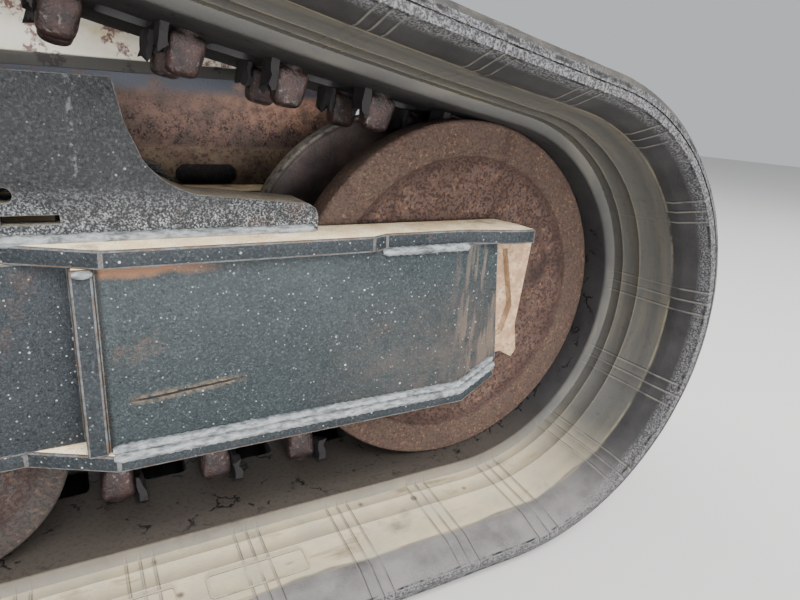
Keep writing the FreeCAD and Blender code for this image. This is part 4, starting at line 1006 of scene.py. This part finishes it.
def bolt_ring(name, seat_y, radius, count):
    """Ring of hexagon-headed bolts about the sprocket's axle; one is shaped and the rest are copies of it."""
    bpy.ops.object.select_all(action="DESELECT")
    first = Vector((sprocket_axle.x + radius, seat_y, sprocket_axle.z))
    bpy.ops.mesh.primitive_cylinder_add(vertices=6, radius=BOLT_SIZE, depth=BOLT_SIZE * 1.3,
                                        rotation=(math.pi / 2, 0, 0),
                                        location=first - Vector((0, BOLT_SIZE * 0.5, 0)))
    bolt = bpy.context.object
    bpy.ops.object.transform_apply()
    bpy.ops.object.mode_set(mode="EDIT")
    pick("FACE", lambda place, normal: normal.y < -0.9)
    bpy.ops.mesh.inset(thickness=BOLT_SIZE * 0.16)
    shift(y=-BOLT_SIZE * 0.12)
    pick("FACE", lambda place, normal: normal.y > 0.9)
    bpy.ops.transform.resize(value=(1.3, 1, 1.3), center_override=first)
    bpy.ops.object.mode_set(mode="OBJECT")
    bolts = [bolt]
    for number in range(1, count):
        turned = bolt.copy()
        turned.data = bolt.data.copy()
        bpy.context.scene.collection.objects.link(turned)
        about = Matrix.Translation(sprocket_axle) @ Matrix.Rotation(2 * math.pi * number / count, 4, "Y")
        turned.data.transform(about @ Matrix.Translation(-sprocket_axle))
        bolts.append(turned)
    take(bolt)
    for turned in bolts:
        turned.select_set(True)
    bpy.ops.object.join()
    bolt.name = name
    smooth_faces(bolt)
    fit(bolt, greasy_iron, "root", "sprocket_steel")


bolt_ring("sprocket_cover_bolts", -46 * mm, 94 * mm, 9)
bolt_ring("final_drive_bolts", 222 * mm, 147 * mm, 12)


# Chassis rail: a pressed side rail behind the track, rusted through its paint, with a row of
# slots in its set-back lower band. The side plate above it is cream, stained where chips rust.
RAIL_STEP = 0.412


def rusty_rail():
    """Rust, orange forward, dark and flaked below the step, with blue-grey paint left above it."""
    finish = new_finish("rusty_rail", specular=0.3)
    place = reading(finish, "Object")
    height, forward = share_of(place, "Z"), share_of(place, "X")
    colour = over(patches(finish, 0.03, 0.4, 0.6), tone(100, 86, 80), tone(124, 100, 90))
    orange = both(ramp(forward, 0.6, 0.72), ramp(height, 0.35, 0.4))
    colour = coat(colour, (206, 158, 134), orange, patches(finish, 0.012, 0.3, 0.6))
    blotch = both(patches(finish, 0.011, 0.36, 0.62), ramp(height, RAIL_STEP, 0.37))
    colour = coat(colour, (50, 42, 44), patches(finish, 0.0024, 0.42, 0.56, 7.0), blotch)
    colour = coat(colour, (60, 50, 52), patches(finish, 0.003, 0.6, 0.68, 6.0))
    lip = ramp(height, 0.345, 0.339)
    colour = coat(colour, (140, 122, 104), lip, patches(finish, 0.02, 0.3, 0.6))
    colour = coat(colour, (92, 72, 62), lip, patches(finish, 0.004, 0.52, 0.64))
    colour = coat(colour, (92, 94, 102), ramp(height, 0.402, RAIL_STEP), patches(finish, 0.05, 0.3, 0.45))
    return close_finish(finish, colour, 0.8, patches(finish, 0.0028, 0.46, 0.56, 6.0), 0.5 * mm)


def stained_cream():
    """Cream paint, yellowed in patches and chipped to rust, with a painted shadow as a near-black band along
    the foot.
    """
    finish = new_finish("stained_cream", specular=0.4)
    height = share_of(reading(finish, "Object"), "Z")
    colour = over(patches(finish, 0.08, 0.4, 0.6), tone(246, 242, 230), tone(236, 228, 208))
    stain = both(patches(finish, 0.06, 0.5, 0.62), patches(finish, 0.01, 0.35, 0.6))
    colour = coat(colour, (222, 200, 146), stain, 0.8)
    chips = both(patches(finish, 0.05, 0.55, 0.59), patches(finish, 0.008, 0.45, 0.52))
    colour = coat(colour, (132, 100, 92), chips)
    # Painted shadow: a near-black band along the foot, the shade under the plate's lower edge.
    colour = coat(colour, (14, 13, 14), ramp(height, 0.4385, 0.4375), 0.95)
    return close_finish(finish, colour, 0.5, chips, 0.2 * mm)


# A sheet fills the rail from 50 mm behind its outboard face as its closed back; its near-black colour is
# painted shade for the inside of the rail, seen through the slots.
rail_low, rail_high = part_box("chassis_rail")
rail_low = rail_low + Vector((6, 50, 4)) * mm
rail_high = rail_high - Vector((6, 2, 4)) * mm
closing_sheet_in_shade = start_block("rail_closing_shade_sheet", rail_low, rail_high)
pick("EDGE", lambda place, along: abs(along.y) > 0.9)
bpy.ops.mesh.bevel(offset=6 * mm, segments=3)
bpy.ops.object.mode_set(mode="OBJECT")
smooth_faces(closing_sheet_in_shade)
fit(closing_sheet_in_shade, rubbed_edge("dark_sheet", (46, 42, 42), (58, 44, 38)), "root", "rail_rust")
ground_edges("chassis_rail", "chassis_rail_steel", 2 * mm, (rusty_rail(),))
ground_edges("chassis_side_plate", "chassis_side_sheet", 1.5 * mm, (stained_cream(),))
